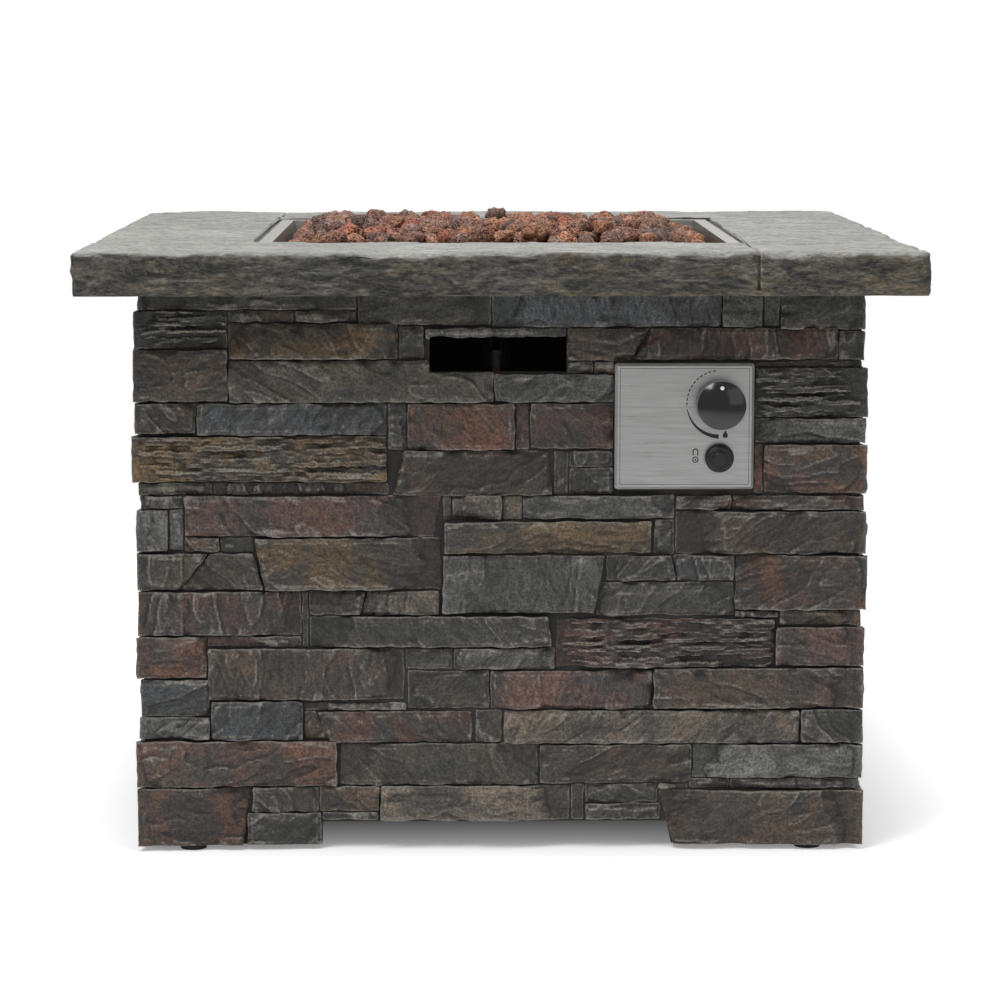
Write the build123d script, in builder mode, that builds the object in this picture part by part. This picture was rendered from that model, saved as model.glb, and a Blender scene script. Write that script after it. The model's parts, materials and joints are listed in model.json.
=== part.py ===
from build123d import *
import os
import random
from math import atan, cos, degrees, hypot, radians, sin, sqrt

# Gaps and cut lengths shared by every piece
fixed_gap = 0.02
running_gap = 0.05
clear_gap = 0.3
overrun = 6

# Cast top slab with a square opening, a rebate round it and moulded joints
table_height = 580
slab_width = 800
slab_thickness = 42
slab_chamfer = 3
rebate_width = 480
rebate_depth = 4
ledge_width = 14
groove_width = 3
groove_depth = 3
groove_drop_share = 0.86

# Cast stone walls: a thin core with stones standing proud of it
body_width = 692
stone_relief = 8
wall_core = 14
joint_width = 3
arch_height = 22
vent_width = 130
vent_height = 35
vent_offset = -2.5
vent_drop = 59

# Rubber feet
foot_height = 5
foot_diameter = 25
foot_inset = 49

# Corner angles, top cleats and their fasteners
angle_leg = 40
angle_sheet = 2
angle_length = 440
angle_lift = 50
bolt_diameter = 6
bolt_grip = 10
bolt_head_width = 10
bolt_head_height = 4
bolt_inset = 24
bolt_end_margin = 60
cleat_width = 60
cleat_leg = 26
cleat_sheet = 2
cleat_screw_spacing = 34
cleat_screw_reach = 16
screw_diameter = 4
screw_grip = 11
screw_head_diameter = 7
screw_head_height = 2.5

# Sheet steel burner pan
pan_sheet = 1.5
pan_flange_gap = 4
pan_flange_width = 13
pan_depth = 69
pan_taper_share = 0.93

# Burner ring, mixer and jet
ring_radius = 120
ring_tube_diameter = 18
ring_wall = 1.5
ring_lift = 14
bar_diameter = 15
port_diameter = 2.5
port_count = 24
hub_diameter = 34
nipple_diameter = 21.3
nipple_bore = 15
nipple_drop = 20
burner_nut_width = 30
burner_nut_height = 8
mixer_diameter = 28
mixer_length = 60
mixer_chamber = 19
mixer_floor = 5
mixer_clearance = 2
window_width = 9
window_height = 26
window_lift = 10
jet_thread_diameter = 10
jet_thread_length = 9
jet_nose_length = 5
jet_nose_diameter = 4
jet_hex_width = 13
jet_hex_height = 6
jet_bore = 5
jet_orifice = 1.4

# Gas tube and its nuts
tube_diameter = 8
tube_bore = 6
tube_bend = 22
tube_drop = 36
tube_run = 78
spigot_diameter = 10
spigot_length = 8
tube_nut_width = 14
tube_nut_length = 14

# Flame sensor and spark rod on a hooded bracket beside the ring
pilot_angle = -41
pilot_gap = 30
pilot_spacing = 20
rod_drop = 24
probe_diameter = 6
probe_rise = 18
ceramic_diameter = 7
ceramic_rise = 10
spark_wire_diameter = 2
hood_width = 62
hood_depth = 26
hood_height = 22
hood_sheet = 1.5
hood_screw_spacing = 48
lead_diameter = 3
lead_bend = 18
lead_run = 40

# Lava rocks, stacked in three layers
rock_pitch = 46
rock_clearance = 1
rock_half_height = 20
rock_seed = 11
rock_side_shares = (0.74, 1.0)
rock_top_shares = (0.62, 1.0)

# Control panel in the front wall
panel_width = 132
panel_height = 120
panel_offset = 174
panel_drop = 127
panel_sheet = 1.2
panel_depth = 12
panel_corner = 3
panel_bevel = 2.5
panel_gap = 1.5
panel_rim = 8
stud_diameter = 4
stud_inset = 13
stud_nut_width = 7
stud_nut_height = 3.2
back_plate_lap = 8
back_plate_sheet = 2

# Gas valve and knob
knob_across = 33.5
knob_rise = 22
valve_block = 32
valve_block_length = 50
valve_rear_diameter = 24
valve_rear_length = 45
valve_screw_spacing = 23
stem_diameter = 8
stem_flat = 1.5
stem_bore_length = 24
stem_pin_diameter = 4
stem_pin_length = 6
plunger_diameter = 12
plunger_length = 18
spring_room = 4
push_travel = 3
stem_hole_diameter = 12
knob_diameter = 46
knob_depth = 24
knob_dome = 7
knob_wall = 2.5
knob_boss_diameter = 14
knob_hollow = 12
knob_mark_diameter = 4
knob_mark_depth = 0.8
knob_mark_inset = 6
outlet_setback = 7
outlet_boss_diameter = 16
outlet_boss_length = 6
inlet_setback = 15
inlet_boss_diameter = 18
inlet_boss_drop = 25
inlet_spigot_diameter = 12
inlet_spigot_length = 8
inlet_hex_width = 19
inlet_hex_height = 8
inlet_thread_diameter = 15.875
inlet_thread_length = 12
inlet_nose_length = 3.5
inlet_nose_diameter = 9
inlet_bore = 6
sensor_nut_diameter = 9
sensor_nut_length = 10

# Push-button igniter with its battery
button_across = 33
button_drop = 29.5
igniter_diameter = 22
battery_room = 1.9
igniter_end_wall = 4
collar_diameter = 27.4
collar_depth = 5
socket_diameter = 19
socket_spare = 1.4
cap_diameter = 24
cap_depth = 4
cap_spigot_length = 7
cap_edge = 1
button_diameter = 12.6
button_rise = 3
button_travel = 2.4
button_flange = 1.2
button_edge = 0.8
igniter_nut_diameter = 30
igniter_nut_height = 5
battery_diameter = 10.5
battery_length = 44.5
battery_nub_diameter = 4
battery_nub_length = 1
contact_sheet = 0.6
contact_rise = 1.2
terminal_diameter = 6
terminal_length = 5
terminal_setback = 6

# Stones of the front wall as shares of its width and height:
# left, right, bottom, top, relief and, where its ends slant, how far the top leans at left and right
front_stone_shares = [
    (0.000, 0.304, 0.968, 1.000, 0.55),
    (0.127, 0.218, 0.946, 0.968, 0.55),
    (0.218, 0.304, 0.946, 0.968, 0.80),
    (0.304, 0.487, 0.941, 1.000, 0.80),
    (0.487, 0.802, 0.937, 1.000, 0.80),
    (0.802, 0.859, 0.936, 1.000, 1.00),
    (0.859, 0.882, 0.938, 1.000, 0.30),
    (0.882, 1.000, 0.932, 1.000, 0.80),
    (0.000, 0.127, 0.900, 0.968, 1.00),
    (0.127, 0.360, 0.880, 0.946, 1.20),
    (0.360, 0.396, 0.880, 0.941, 0.80),
    (0.396, 0.590, 0.915, 0.937, 0.80),
    (0.590, 0.678, 0.877, 0.937, 1.00, 0.000, 0.026),
    (0.678, 0.962, 0.879, 0.937, 1.00, 0.026, 0.000),
    (0.962, 1.000, 0.878, 0.932, 0.80),
    (0.848, 1.000, 0.866, 0.878, 0.55),
    (0.000, 0.127, 0.805, 0.899, 1.20),
    (0.127, 0.491, 0.803, 0.862, 1.00),
    (0.127, 0.402, 0.842, 0.880, 1.00),
    (0.590, 0.627, 0.853, 0.877, 0.55),
    (0.627, 0.656, 0.853, 0.877, 0.55),
    (0.491, 0.656, 0.803, 0.855, 1.00),
    (0.848, 1.000, 0.776, 0.866, 1.20),
    (0.000, 0.083, 0.748, 0.804, 1.00),
    (0.083, 0.344, 0.745, 0.803, 1.00),
    (0.344, 0.371, 0.718, 0.803, 0.55),
    (0.371, 0.520, 0.718, 0.803, 1.20),
    (0.520, 0.540, 0.718, 0.803, 0.30),
    (0.540, 0.655, 0.720, 0.803, 1.00),
    (0.848, 1.000, 0.729, 0.776, 1.00),
    (0.848, 0.861, 0.640, 0.729, 0.30),
    (0.861, 1.000, 0.640, 0.729, 1.20),
    (0.000, 0.344, 0.661, 0.744, 1.40),
    (0.000, 0.105, 0.638, 0.661, 0.80),
    (0.105, 0.347, 0.638, 0.661, 0.55),
    (0.350, 0.572, 0.636, 0.718, 1.20, 0.016, -0.004),
    (0.572, 0.594, 0.636, 0.718, 0.30),
    (0.594, 0.655, 0.687, 0.718, 0.80),
    (0.594, 0.655, 0.637, 0.687, 0.80),
    (0.000, 0.064, 0.613, 0.638, 0.55),
    (0.000, 0.043, 0.537, 0.613, 1.00),
    (0.043, 0.064, 0.537, 0.613, 0.30),
    (0.064, 0.409, 0.563, 0.638, 1.20, 0.000, 0.010),
    (0.064, 0.114, 0.535, 0.563, 0.80),
    (0.114, 0.160, 0.535, 0.563, 0.55),
    (0.000, 0.057, 0.466, 0.534, 1.00, 0.000, 0.041),
    (0.057, 0.174, 0.466, 0.534, 0.80, 0.041, -0.014),
    (0.174, 0.419, 0.466, 0.562, 1.40, -0.014, 0.000),
    (0.420, 0.432, 0.592, 0.638, 0.30),
    (0.432, 0.502, 0.592, 0.638, 1.00),
    (0.502, 0.530, 0.592, 0.638, 0.30),
    (0.530, 0.740, 0.594, 0.638, 0.80),
    (0.421, 0.709, 0.531, 0.591, 1.20),
    (0.711, 0.740, 0.530, 0.594, 0.80),
    (0.740, 0.818, 0.610, 0.637, 0.80),
    (0.818, 1.000, 0.609, 0.637, 1.00),
    (0.740, 1.000, 0.530, 0.609, 1.20),
    (0.419, 0.629, 0.423, 0.530, 1.20, 0.000, 0.016),
    (0.645, 0.743, 0.481, 0.529, 0.80, 0.000, -0.006),
    (0.743, 0.823, 0.481, 0.529, 0.80, -0.006, 0.000),
    (0.632, 0.823, 0.418, 0.481, 0.80),
    (0.823, 1.000, 0.429, 0.529, 1.40),
    (0.000, 0.225, 0.384, 0.465, 1.00),
    (0.225, 0.235, 0.362, 0.465, 0.30),
    (0.235, 0.307, 0.420, 0.465, 0.80, 0.000, 0.008),
    (0.307, 0.416, 0.420, 0.465, 1.00, 0.008, 0.000),
    (0.235, 0.572, 0.362, 0.420, 1.20, 0.000, -0.006),
    (0.576, 0.880, 0.325, 0.414, 1.40),
    (0.823, 0.885, 0.414, 0.428, 0.80),
    (0.885, 1.000, 0.400, 0.429, 0.80),
    (0.880, 1.000, 0.326, 0.399, 1.20),
    (0.000, 0.094, 0.306, 0.383, 1.20),
    (0.094, 0.225, 0.362, 0.383, 0.30),
    (0.094, 0.367, 0.266, 0.361, 1.20),
    (0.367, 0.434, 0.321, 0.361, 0.55),
    (0.434, 0.576, 0.320, 0.361, 1.00),
    (0.370, 0.485, 0.249, 0.320, 0.80),
    (0.485, 0.711, 0.248, 0.320, 1.00),
    (0.711, 1.000, 0.249, 0.324, 1.20),
    (0.000, 0.098, 0.236, 0.305, 0.80),
    (0.000, 0.098, 0.195, 0.236, 1.00),
    (0.098, 0.227, 0.193, 0.265, 1.40),
    (0.227, 0.370, 0.246, 0.262, 0.55),
    (0.227, 0.262, 0.193, 0.246, 0.30, 0.000, -0.018),
    (0.262, 0.461, 0.187, 0.246, 1.00, -0.018, 0.000),
    (0.464, 0.502, 0.187, 0.248, 0.30),
    (0.503, 0.915, 0.184, 0.247, 1.20),
    (0.916, 1.000, 0.186, 0.248, 1.20),
    (0.000, 0.273, 0.107, 0.193, 1.40),
    (0.276, 0.553, 0.109, 0.187, 1.00),
    (0.553, 0.766, 0.111, 0.184, 1.00),
    (0.766, 1.000, 0.121, 0.184, 1.20),
    (0.762, 0.819, 0.101, 0.121, 0.55),
    (0.819, 1.000, 0.101, 0.121, 0.80),
    (0.000, 0.143, 0.000, 0.106, 1.40, 0.000, 0.011),
    (0.154, 0.247, 0.060, 0.107, 0.80),
    (0.146, 0.251, 0.000, 0.060, 1.00),
    (0.247, 0.332, 0.060, 0.109, 0.80),
    (0.251, 0.330, 0.043, 0.060, 0.55),
    (0.332, 0.597, 0.043, 0.109, 1.20),
    (0.597, 0.617, 0.043, 0.111, 0.30),
    (0.617, 0.719, 0.075, 0.111, 0.80),
    (0.617, 0.723, 0.043, 0.075, 0.80),
    (0.719, 0.762, 0.100, 0.111, 0.55),
    (0.738, 1.000, 0.000, 0.100, 1.40, -0.018, 0.000),
]

# Stones that stand on the back wall where the front wall has its panel
panel_fill_shares = [
    (0.656, 0.848, 0.826, 0.877, 1.00),
    (0.656, 0.770, 0.718, 0.826, 1.20),
    (0.770, 0.848, 0.762, 0.826, 0.80),
    (0.770, 0.848, 0.718, 0.762, 0.55),
    (0.656, 0.848, 0.637, 0.718, 1.20),
]

# Stones of a side wall, read as above, with the courses of the front wall at its ends
side_stone_shares = [
    (0.000, 0.152, 0.932, 1.000, 0.80),
    (0.152, 0.470, 0.955, 1.000, 0.80),
    (0.152, 0.330, 0.932, 0.955, 0.55),
    (0.330, 0.470, 0.932, 0.955, 0.80),
    (0.000, 0.101, 0.877, 0.932, 0.80),
    (0.101, 0.338, 0.866, 0.932, 1.20),
    (0.338, 0.470, 0.880, 0.932, 1.00),
    (0.000, 0.101, 0.866, 0.877, 0.55),
    (0.338, 0.470, 0.866, 0.880, 0.55),
    (0.000, 0.186, 0.776, 0.866, 1.20),
    (0.186, 0.322, 0.776, 0.866, 1.00),
    (0.322, 0.470, 0.812, 0.866, 1.00),
    (0.322, 0.470, 0.776, 0.812, 0.80),
    (0.000, 0.242, 0.729, 0.776, 1.00),
    (0.242, 0.262, 0.640, 0.776, 0.30),
    (0.262, 0.470, 0.706, 0.776, 1.20),
    (0.000, 0.118, 0.640, 0.729, 1.20),
    (0.118, 0.242, 0.684, 0.729, 0.80),
    (0.118, 0.242, 0.640, 0.684, 1.00),
    (0.262, 0.470, 0.640, 0.706, 0.80),
    (0.470, 0.742, 0.951, 1.000, 0.80),
    (0.742, 1.000, 0.968, 1.000, 0.55),
    (0.742, 0.868, 0.930, 0.968, 0.55),
    (0.470, 0.742, 0.893, 0.951, 1.00),
    (0.868, 1.000, 0.900, 0.968, 1.00),
    (0.742, 0.868, 0.893, 0.930, 0.80),
    (0.868, 1.000, 0.805, 0.900, 1.20),
    (0.614, 0.868, 0.826, 0.893, 1.20),
    (0.470, 0.614, 0.842, 0.893, 0.80),
    (0.470, 0.614, 0.805, 0.842, 1.00),
    (0.614, 0.868, 0.805, 0.826, 0.55),
    (0.918, 1.000, 0.748, 0.805, 1.00),
    (0.660, 0.918, 0.746, 0.805, 1.00),
    (0.470, 0.660, 0.738, 0.805, 1.20),
    (0.470, 0.628, 0.638, 0.738, 1.20, 0.000, 0.012),
    (0.640, 0.660, 0.638, 0.738, 0.30),
    (0.660, 1.000, 0.661, 0.746, 1.40),
    (0.660, 0.896, 0.638, 0.661, 0.55),
    (0.896, 1.000, 0.638, 0.661, 0.80),
    (0.000, 0.182, 0.609, 0.638, 1.00),
    (0.182, 0.390, 0.611, 0.638, 0.80),
    (0.390, 0.566, 0.611, 0.638, 0.80),
    (0.566, 0.936, 0.613, 0.638, 0.55),
    (0.936, 1.000, 0.613, 0.638, 0.55),
    (0.000, 0.262, 0.532, 0.609, 1.20),
    (0.262, 0.645, 0.535, 0.611, 1.20),
    (0.645, 0.668, 0.535, 0.611, 0.30),
    (0.668, 0.957, 0.537, 0.613, 1.00),
    (0.957, 1.000, 0.537, 0.613, 1.00),
    (0.000, 0.176, 0.429, 0.531, 1.40),
    (0.176, 0.264, 0.482, 0.531, 0.80),
    (0.264, 0.550, 0.470, 0.533, 1.20),
    (0.176, 0.264, 0.429, 0.482, 1.00),
    (0.264, 0.402, 0.400, 0.470, 0.80),
    (0.402, 0.550, 0.400, 0.470, 1.00),
    (0.000, 0.114, 0.400, 0.429, 0.80),
    (0.114, 0.264, 0.400, 0.429, 1.00),
    (0.550, 0.686, 0.466, 0.536, 0.80, 0.000, 0.014),
    (0.690, 0.902, 0.466, 0.536, 1.40, 0.014, 0.000),
    (0.902, 1.000, 0.466, 0.536, 1.00),
    (0.550, 0.775, 0.428, 0.466, 1.00),
    (0.775, 1.000, 0.384, 0.466, 1.00),
    (0.550, 0.775, 0.388, 0.428, 1.20),
    (0.000, 0.117, 0.326, 0.399, 1.20),
    (0.117, 0.380, 0.326, 0.399, 1.40),
    (0.380, 0.540, 0.308, 0.387, 1.00),
    (0.540, 0.906, 0.308, 0.384, 1.20),
    (0.906, 1.000, 0.306, 0.383, 1.20),
    (0.000, 0.289, 0.249, 0.325, 1.20),
    (0.289, 0.600, 0.249, 0.307, 1.00),
    (0.289, 0.380, 0.307, 0.326, 0.30),
    (0.600, 0.784, 0.236, 0.307, 0.80),
    (0.784, 0.902, 0.236, 0.307, 1.20),
    (0.902, 1.000, 0.236, 0.305, 0.80),
    (0.000, 0.084, 0.186, 0.248, 1.20),
    (0.084, 0.430, 0.188, 0.248, 1.20),
    (0.430, 0.500, 0.192, 0.248, 0.30),
    (0.500, 0.600, 0.195, 0.248, 0.80),
    (0.600, 0.772, 0.195, 0.236, 1.00),
    (0.772, 0.902, 0.195, 0.236, 1.40),
    (0.902, 1.000, 0.195, 0.236, 1.00),
    (0.000, 0.234, 0.121, 0.185, 1.20),
    (0.234, 0.520, 0.108, 0.187, 1.00),
    (0.000, 0.180, 0.101, 0.121, 0.80),
    (0.180, 0.234, 0.101, 0.121, 0.55),
    (0.520, 0.728, 0.107, 0.191, 1.00),
    (0.728, 1.000, 0.107, 0.193, 1.40),
    (0.000, 0.262, 0.000, 0.100, 1.40),
    (0.262, 0.366, 0.043, 0.106, 0.80),
    (0.366, 0.620, 0.043, 0.106, 1.20),
    (0.620, 0.738, 0.043, 0.106, 0.80),
    (0.738, 0.850, 0.000, 0.060, 1.00),
    (0.738, 0.850, 0.060, 0.106, 0.80),
    (0.850, 1.000, 0.000, 0.106, 1.40),
]

# The arch between the feet, as shares of the wall's width: bottom left, bottom right and top right
front_arch_shares = (0.251, 0.738, 0.731)
side_arch_shares = (0.262, 0.738, 0.738)

# Levels from the floor
slab_bottom = table_height - slab_thickness
wall_bottom = foot_height
wall_height = slab_bottom - wall_bottom
wall_middle = wall_bottom + wall_height / 2
ledge_level = table_height - rebate_depth
pan_floor = ledge_level - pan_depth
pan_underside = pan_floor - pan_sheet
ring_level = pan_floor + ring_lift
nipple_end = pan_underside - nipple_drop
burner_nut_level = pan_underside - burner_nut_height
mixer_top = burner_nut_level - mixer_clearance
mixer_bottom = mixer_top - mixer_length
jet_hex_level = mixer_bottom - jet_hex_height
jet_end = jet_hex_level - spigot_length
rod_end = pan_underside - rod_drop

# Half widths from the middle of the body
grout_half = body_width / 2 - stone_relief
inner_half = grout_half - wall_core
slab_half = slab_width / 2
opening_width = rebate_width - 2 * ledge_width
pan_flange = rebate_width - 2 * pan_flange_gap
pan_mouth = pan_flange - 2 * pan_flange_width
pan_base = pan_mouth * pan_taper_share

# Faces of the walls: across each wall to the right as it is looked at, then up, then outwards
wall_faces = {
    "front": Plane(origin=(0, -grout_half, 0), x_dir=(1, 0, 0), z_dir=(0, -1, 0)),
    "right": Plane(origin=(grout_half, 0, 0), x_dir=(0, 1, 0), z_dir=(1, 0, 0)),
    "back": Plane(origin=(0, grout_half, 0), x_dir=(-1, 0, 0), z_dir=(0, 1, 0)),
    "left": Plane(origin=(-grout_half, 0, 0), x_dir=(0, -1, 0), z_dir=(-1, 0, 0)),
}

# Fastener places on a wall, across and up, and under the slab, across and in from the wall
bolt_reach = inner_half - bolt_inset
angle_bottom = wall_bottom + angle_lift
bolt_levels = (angle_bottom + bolt_end_margin, angle_bottom + angle_length - bolt_end_margin)
bolt_places = [(side * bolt_reach, level) for side in (-1, 1) for level in bolt_levels]
cleat_middle = slab_bottom - cleat_leg / 2
cleat_places = [(side * cleat_screw_spacing / 2, cleat_middle) for side in (-1, 1)]
foot_reach = body_width / 2 - foot_inset
foot_line = (grout_half + inner_half) / 2
foot_places = {
    "front_left": (-foot_reach, -foot_line),
    "front_right": (foot_reach, -foot_line),
    "back_left": (-foot_reach, foot_line),
    "back_right": (foot_reach, foot_line),
}

# Control panel places
panel_face = -grout_half - panel_depth
panel_back = panel_face + panel_sheet
panel_level = slab_bottom - panel_drop
panel_opening = (panel_width - 2 * panel_rim, panel_height - 2 * panel_rim)
stud_reach = (panel_width / 2 - stud_inset, panel_height / 2 - stud_inset)
stud_columns = [panel_offset + side * stud_reach[0] for side in (-1, 1)]
stud_rows = [panel_level + side * stud_reach[1] for side in (-1, 1)]
stud_places = [(column, row) for column in stud_columns for row in stud_rows]
plate_face = -inner_half
plate_back = plate_face + back_plate_sheet
stud_end = plate_back + stud_nut_height + stud_nut_height / 2

# Gas valve places along its axis, from the panel inwards
knob_x = panel_offset + knob_across
knob_z = panel_level + knob_rise
valve_shoulder = panel_back + valve_block_length
valve_end = valve_shoulder + valve_rear_length
stem_bore_end = panel_back + stem_bore_length
plunger_face = stem_bore_end + clear_gap
chamber_length = clear_gap + plunger_length + push_travel + spring_room
knob_back = panel_face - push_travel - 2 * clear_gap
knob_shoulder = knob_back - knob_depth + knob_dome
knob_front = knob_back - knob_depth
knob_hollow_end = knob_back - knob_hollow
stem_front = knob_hollow_end - (knob_depth - knob_dome - knob_hollow) + knob_wall
outlet_y = valve_shoulder - outlet_setback
outlet_end = knob_x - valve_block / 2 - outlet_boss_length - spigot_length
inlet_y = valve_end - inlet_setback
inlet_face = knob_z - inlet_boss_drop
inlet_thread_level = inlet_face - inlet_hex_height
inlet_nose_level = inlet_thread_level - inlet_thread_length - inlet_nose_length

# Igniter places along its axis, from the collar inwards
button_x = panel_offset + button_across
button_z = panel_level - button_drop
collar_face = panel_face - collar_depth
cap_back = collar_face - clear_gap
cap_face = cap_back - cap_depth
socket_depth = cap_spigot_length + button_flange + button_travel + socket_spare
socket_end = collar_face + socket_depth
battery_front = socket_end + battery_room
battery_back = battery_front + battery_length
battery_end = battery_back + contact_rise + contact_sheet
igniter_end = battery_end + igniter_end_wall
terminal_y = igniter_end - terminal_setback
terminal_x = button_x - igniter_diameter / 2 - terminal_length

# Flame sensor and spark rod places
pilot_reach = ring_radius + ring_tube_diameter / 2 + pilot_gap
pilot_x = pilot_reach * cos(radians(pilot_angle))
pilot_y = pilot_reach * sin(radians(pilot_angle))
spark_x = pilot_x - pilot_spacing / 2
probe_x = pilot_x + pilot_spacing / 2

os.makedirs("parts", exist_ok=True)


def keep(piece, node):
    """Label a finished piece and write it as its own file."""
    piece.label = node
    export_step(piece, f"parts/{node}.step")


def facing(depth):
    """A drawing plane at y = depth that looks out of the front, with x to the right and z up."""
    return Plane(origin=(0, depth, 0), x_dir=(1, 0, 0), z_dir=(0, -1, 0))


def across(share):
    """A place across a wall."""
    return (share - 1 / 2) * body_width


def up(share):
    """A place up a wall."""
    return wall_bottom + share * wall_height


def stone_outline(left, right, bottom, top, relief, left_lean=0, right_lean=0):
    """Corners of one stone, drawn in by half a joint, with end stones run past the corner of the body."""
    inset = joint_width / 2
    past_corner = body_width / 2 + stone_relief + overrun
    low = up(bottom) + (inset if bottom > 0 else 0)
    high = up(top) - (inset if top < 1 else 0)
    low_left = across(left) + inset if left > 0 else -past_corner
    high_left = across(left + left_lean) + inset if left > 0 else -past_corner
    low_right = across(right) - inset if right < 1 else past_corner
    high_right = across(right + right_lean) - inset if right < 1 else past_corner
    return [(low_left, low), (low_right, low), (high_right, high), (high_left, high)]


def arch_outline(low_left, low_right, high_right):
    """The arch between the feet of one wall, run down past the wall's foot."""
    below = wall_bottom - overrun
    above = wall_bottom + arch_height
    return [
        (across(low_left), below),
        (across(low_right), below),
        (across(low_right), wall_bottom),
        (across(high_right), above),
        (across(low_left), above),
    ]


def stone_wall(face, cells, arch, vented, panelled):
    """One cast wall: core, stones by height of relief, openings, fastener holes and mitred ends."""
    through = wall_core + 2 * stone_relief
    with BuildPart() as wall:
        with BuildSketch(face):
            with Locations((0, wall_middle)):
                Rectangle(2 * grout_half, wall_height)
        extrude(amount=-wall_core)
        for relief_share in sorted({cell[4] for cell in cells}):
            with BuildSketch(face):
                for cell in cells:
                    if cell[4] == relief_share:
                        Polygon(*stone_outline(*cell), align=None)
            extrude(amount=relief_share * stone_relief)
        with BuildSketch(face):
            Polygon(*arch_outline(*arch), align=None)
        extrude(amount=through, both=True, mode=Mode.SUBTRACT)
        if vented:
            with BuildSketch(face):
                with Locations((vent_offset, slab_bottom - vent_drop)):
                    Rectangle(vent_width, vent_height)
            extrude(amount=through, both=True, mode=Mode.SUBTRACT)
        if panelled:
            with BuildSketch(face):
                with Locations((panel_offset, panel_level)):
                    Rectangle(panel_width + 2 * panel_gap, panel_height + 2 * panel_gap)
            extrude(amount=through, mode=Mode.SUBTRACT)
            with BuildSketch(face):
                with Locations((panel_offset, panel_level)):
                    Rectangle(*panel_opening)
            extrude(amount=-through, mode=Mode.SUBTRACT)
        with BuildSketch(face.offset(-wall_core)):
            with Locations(*bolt_places):
                Circle(bolt_diameter / 2 + fixed_gap)
        extrude(amount=bolt_grip + clear_gap, mode=Mode.SUBTRACT)
        with BuildSketch(face.offset(-wall_core)):
            with Locations(*cleat_places):
                Circle(screw_diameter / 2 + fixed_gap)
        extrude(amount=screw_grip + clear_gap, mode=Mode.SUBTRACT)
        with BuildSketch(Plane.XY.offset(wall_bottom)):
            with Locations(*foot_places.values()):
                Circle(screw_diameter / 2 + fixed_gap)
        extrude(amount=screw_grip + clear_gap, mode=Mode.SUBTRACT)
        for side in (-1, 1):
            split(bisect_by=Plane(origin=(0, 0, 0), z_dir=face.x_dir * side - face.z_dir), keep=Keep.BOTTOM)
    return wall.part


# Top slab with its rebated opening, moulded joints and cleat screw holes
slab_screw_places = []
for face in wall_faces.values():
    for side in (-1, 1):
        spot = face.from_local_coords((side * cleat_screw_spacing / 2, 0, -wall_core - cleat_screw_reach))
        slab_screw_places.append((spot.X, spot.Y))

with BuildPart() as top_slab:
    with BuildSketch(Plane.XY.offset(slab_bottom)):
        Rectangle(slab_width, slab_width)
    extrude(amount=slab_thickness)
    chamfer(top_slab.edges().filter_by(Axis.Z, reverse=True), length=slab_chamfer)
    with BuildSketch(Plane.XY.offset(slab_bottom)):
        Rectangle(opening_width, opening_width)
    extrude(amount=slab_thickness, mode=Mode.SUBTRACT)
    with BuildSketch(Plane.XY.offset(ledge_level)):
        Rectangle(rebate_width, rebate_width)
    extrude(amount=rebate_depth, mode=Mode.SUBTRACT)
    rim_width = slab_half - rebate_width / 2
    rim_middle = rebate_width / 2 + rim_width / 2
    groove_line = rebate_width / 2 - groove_width / 2
    for turn in range(4):
        with BuildSketch(Plane.XY.offset(table_height).rotated((0, 0, 90 * turn))):
            with Locations((groove_line, -rim_middle)):
                Rectangle(groove_width, rim_width)
        extrude(amount=-groove_depth, mode=Mode.SUBTRACT)
        with BuildSketch(Plane.XY.offset(table_height).rotated((0, 0, 90 * turn))):
            with Locations((groove_line, -slab_half)):
                Rectangle(groove_width, 2 * groove_depth)
        extrude(amount=-slab_thickness * groove_drop_share, mode=Mode.SUBTRACT)
    with BuildSketch(Plane.XY.offset(slab_bottom)):
        with Locations(*slab_screw_places):
            Circle(screw_diameter / 2 + fixed_gap)
    extrude(amount=screw_grip + clear_gap, mode=Mode.SUBTRACT)
keep(top_slab.part, "top_slab")

# Four stone walls
keep(stone_wall(wall_faces["front"], front_stone_shares, front_arch_shares, True, True), "front_wall")
back_stone_shares = front_stone_shares + panel_fill_shares
keep(stone_wall(wall_faces["back"], back_stone_shares, front_arch_shares, True, False), "back_wall")
for side in ("left", "right"):
    keep(stone_wall(wall_faces[side], side_stone_shares, side_arch_shares, False, False), f"{side}_wall")

# Steel angles in the four corners
for corner, (foot_x, foot_y) in foot_places.items():
    x_side = 1 if foot_x > 0 else -1
    y_side = 1 if foot_y > 0 else -1
    corner_align = (Align.MAX if x_side > 0 else Align.MIN, Align.MAX if y_side > 0 else Align.MIN)
    clear_half = inner_half - angle_sheet
    with BuildPart() as corner_angle:
        with BuildSketch(Plane.XY.offset(angle_bottom)):
            with Locations((x_side * inner_half, y_side * inner_half)):
                Rectangle(angle_leg, angle_leg, align=corner_align)
            with Locations((x_side * clear_half, y_side * clear_half)):
                Rectangle(angle_leg, angle_leg, align=corner_align, mode=Mode.SUBTRACT)
        extrude(amount=angle_length)
        for face in wall_faces.values():
            with BuildSketch(face.offset(-wall_core)):
                with Locations(*bolt_places):
                    Circle(bolt_diameter / 2 + clear_gap)
            extrude(amount=-angle_sheet, mode=Mode.SUBTRACT)
    keep(corner_angle.part, f"corner_angle_{corner}")

# Hexagon bolts from the angles into the walls
with BuildPart() as wall_bolts:
    for face in wall_faces.values():
        seat = face.offset(-wall_core - angle_sheet)
        with BuildSketch(seat):
            with Locations(*bolt_places):
                RegularPolygon(bolt_head_width / 2, 6, major_radius=False)
        extrude(amount=-bolt_head_height)
        with BuildSketch(seat):
            with Locations(*bolt_places):
                Circle(bolt_diameter / 2)
        extrude(amount=angle_sheet + bolt_grip)
keep(wall_bolts.part, "wall_bolts")

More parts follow.
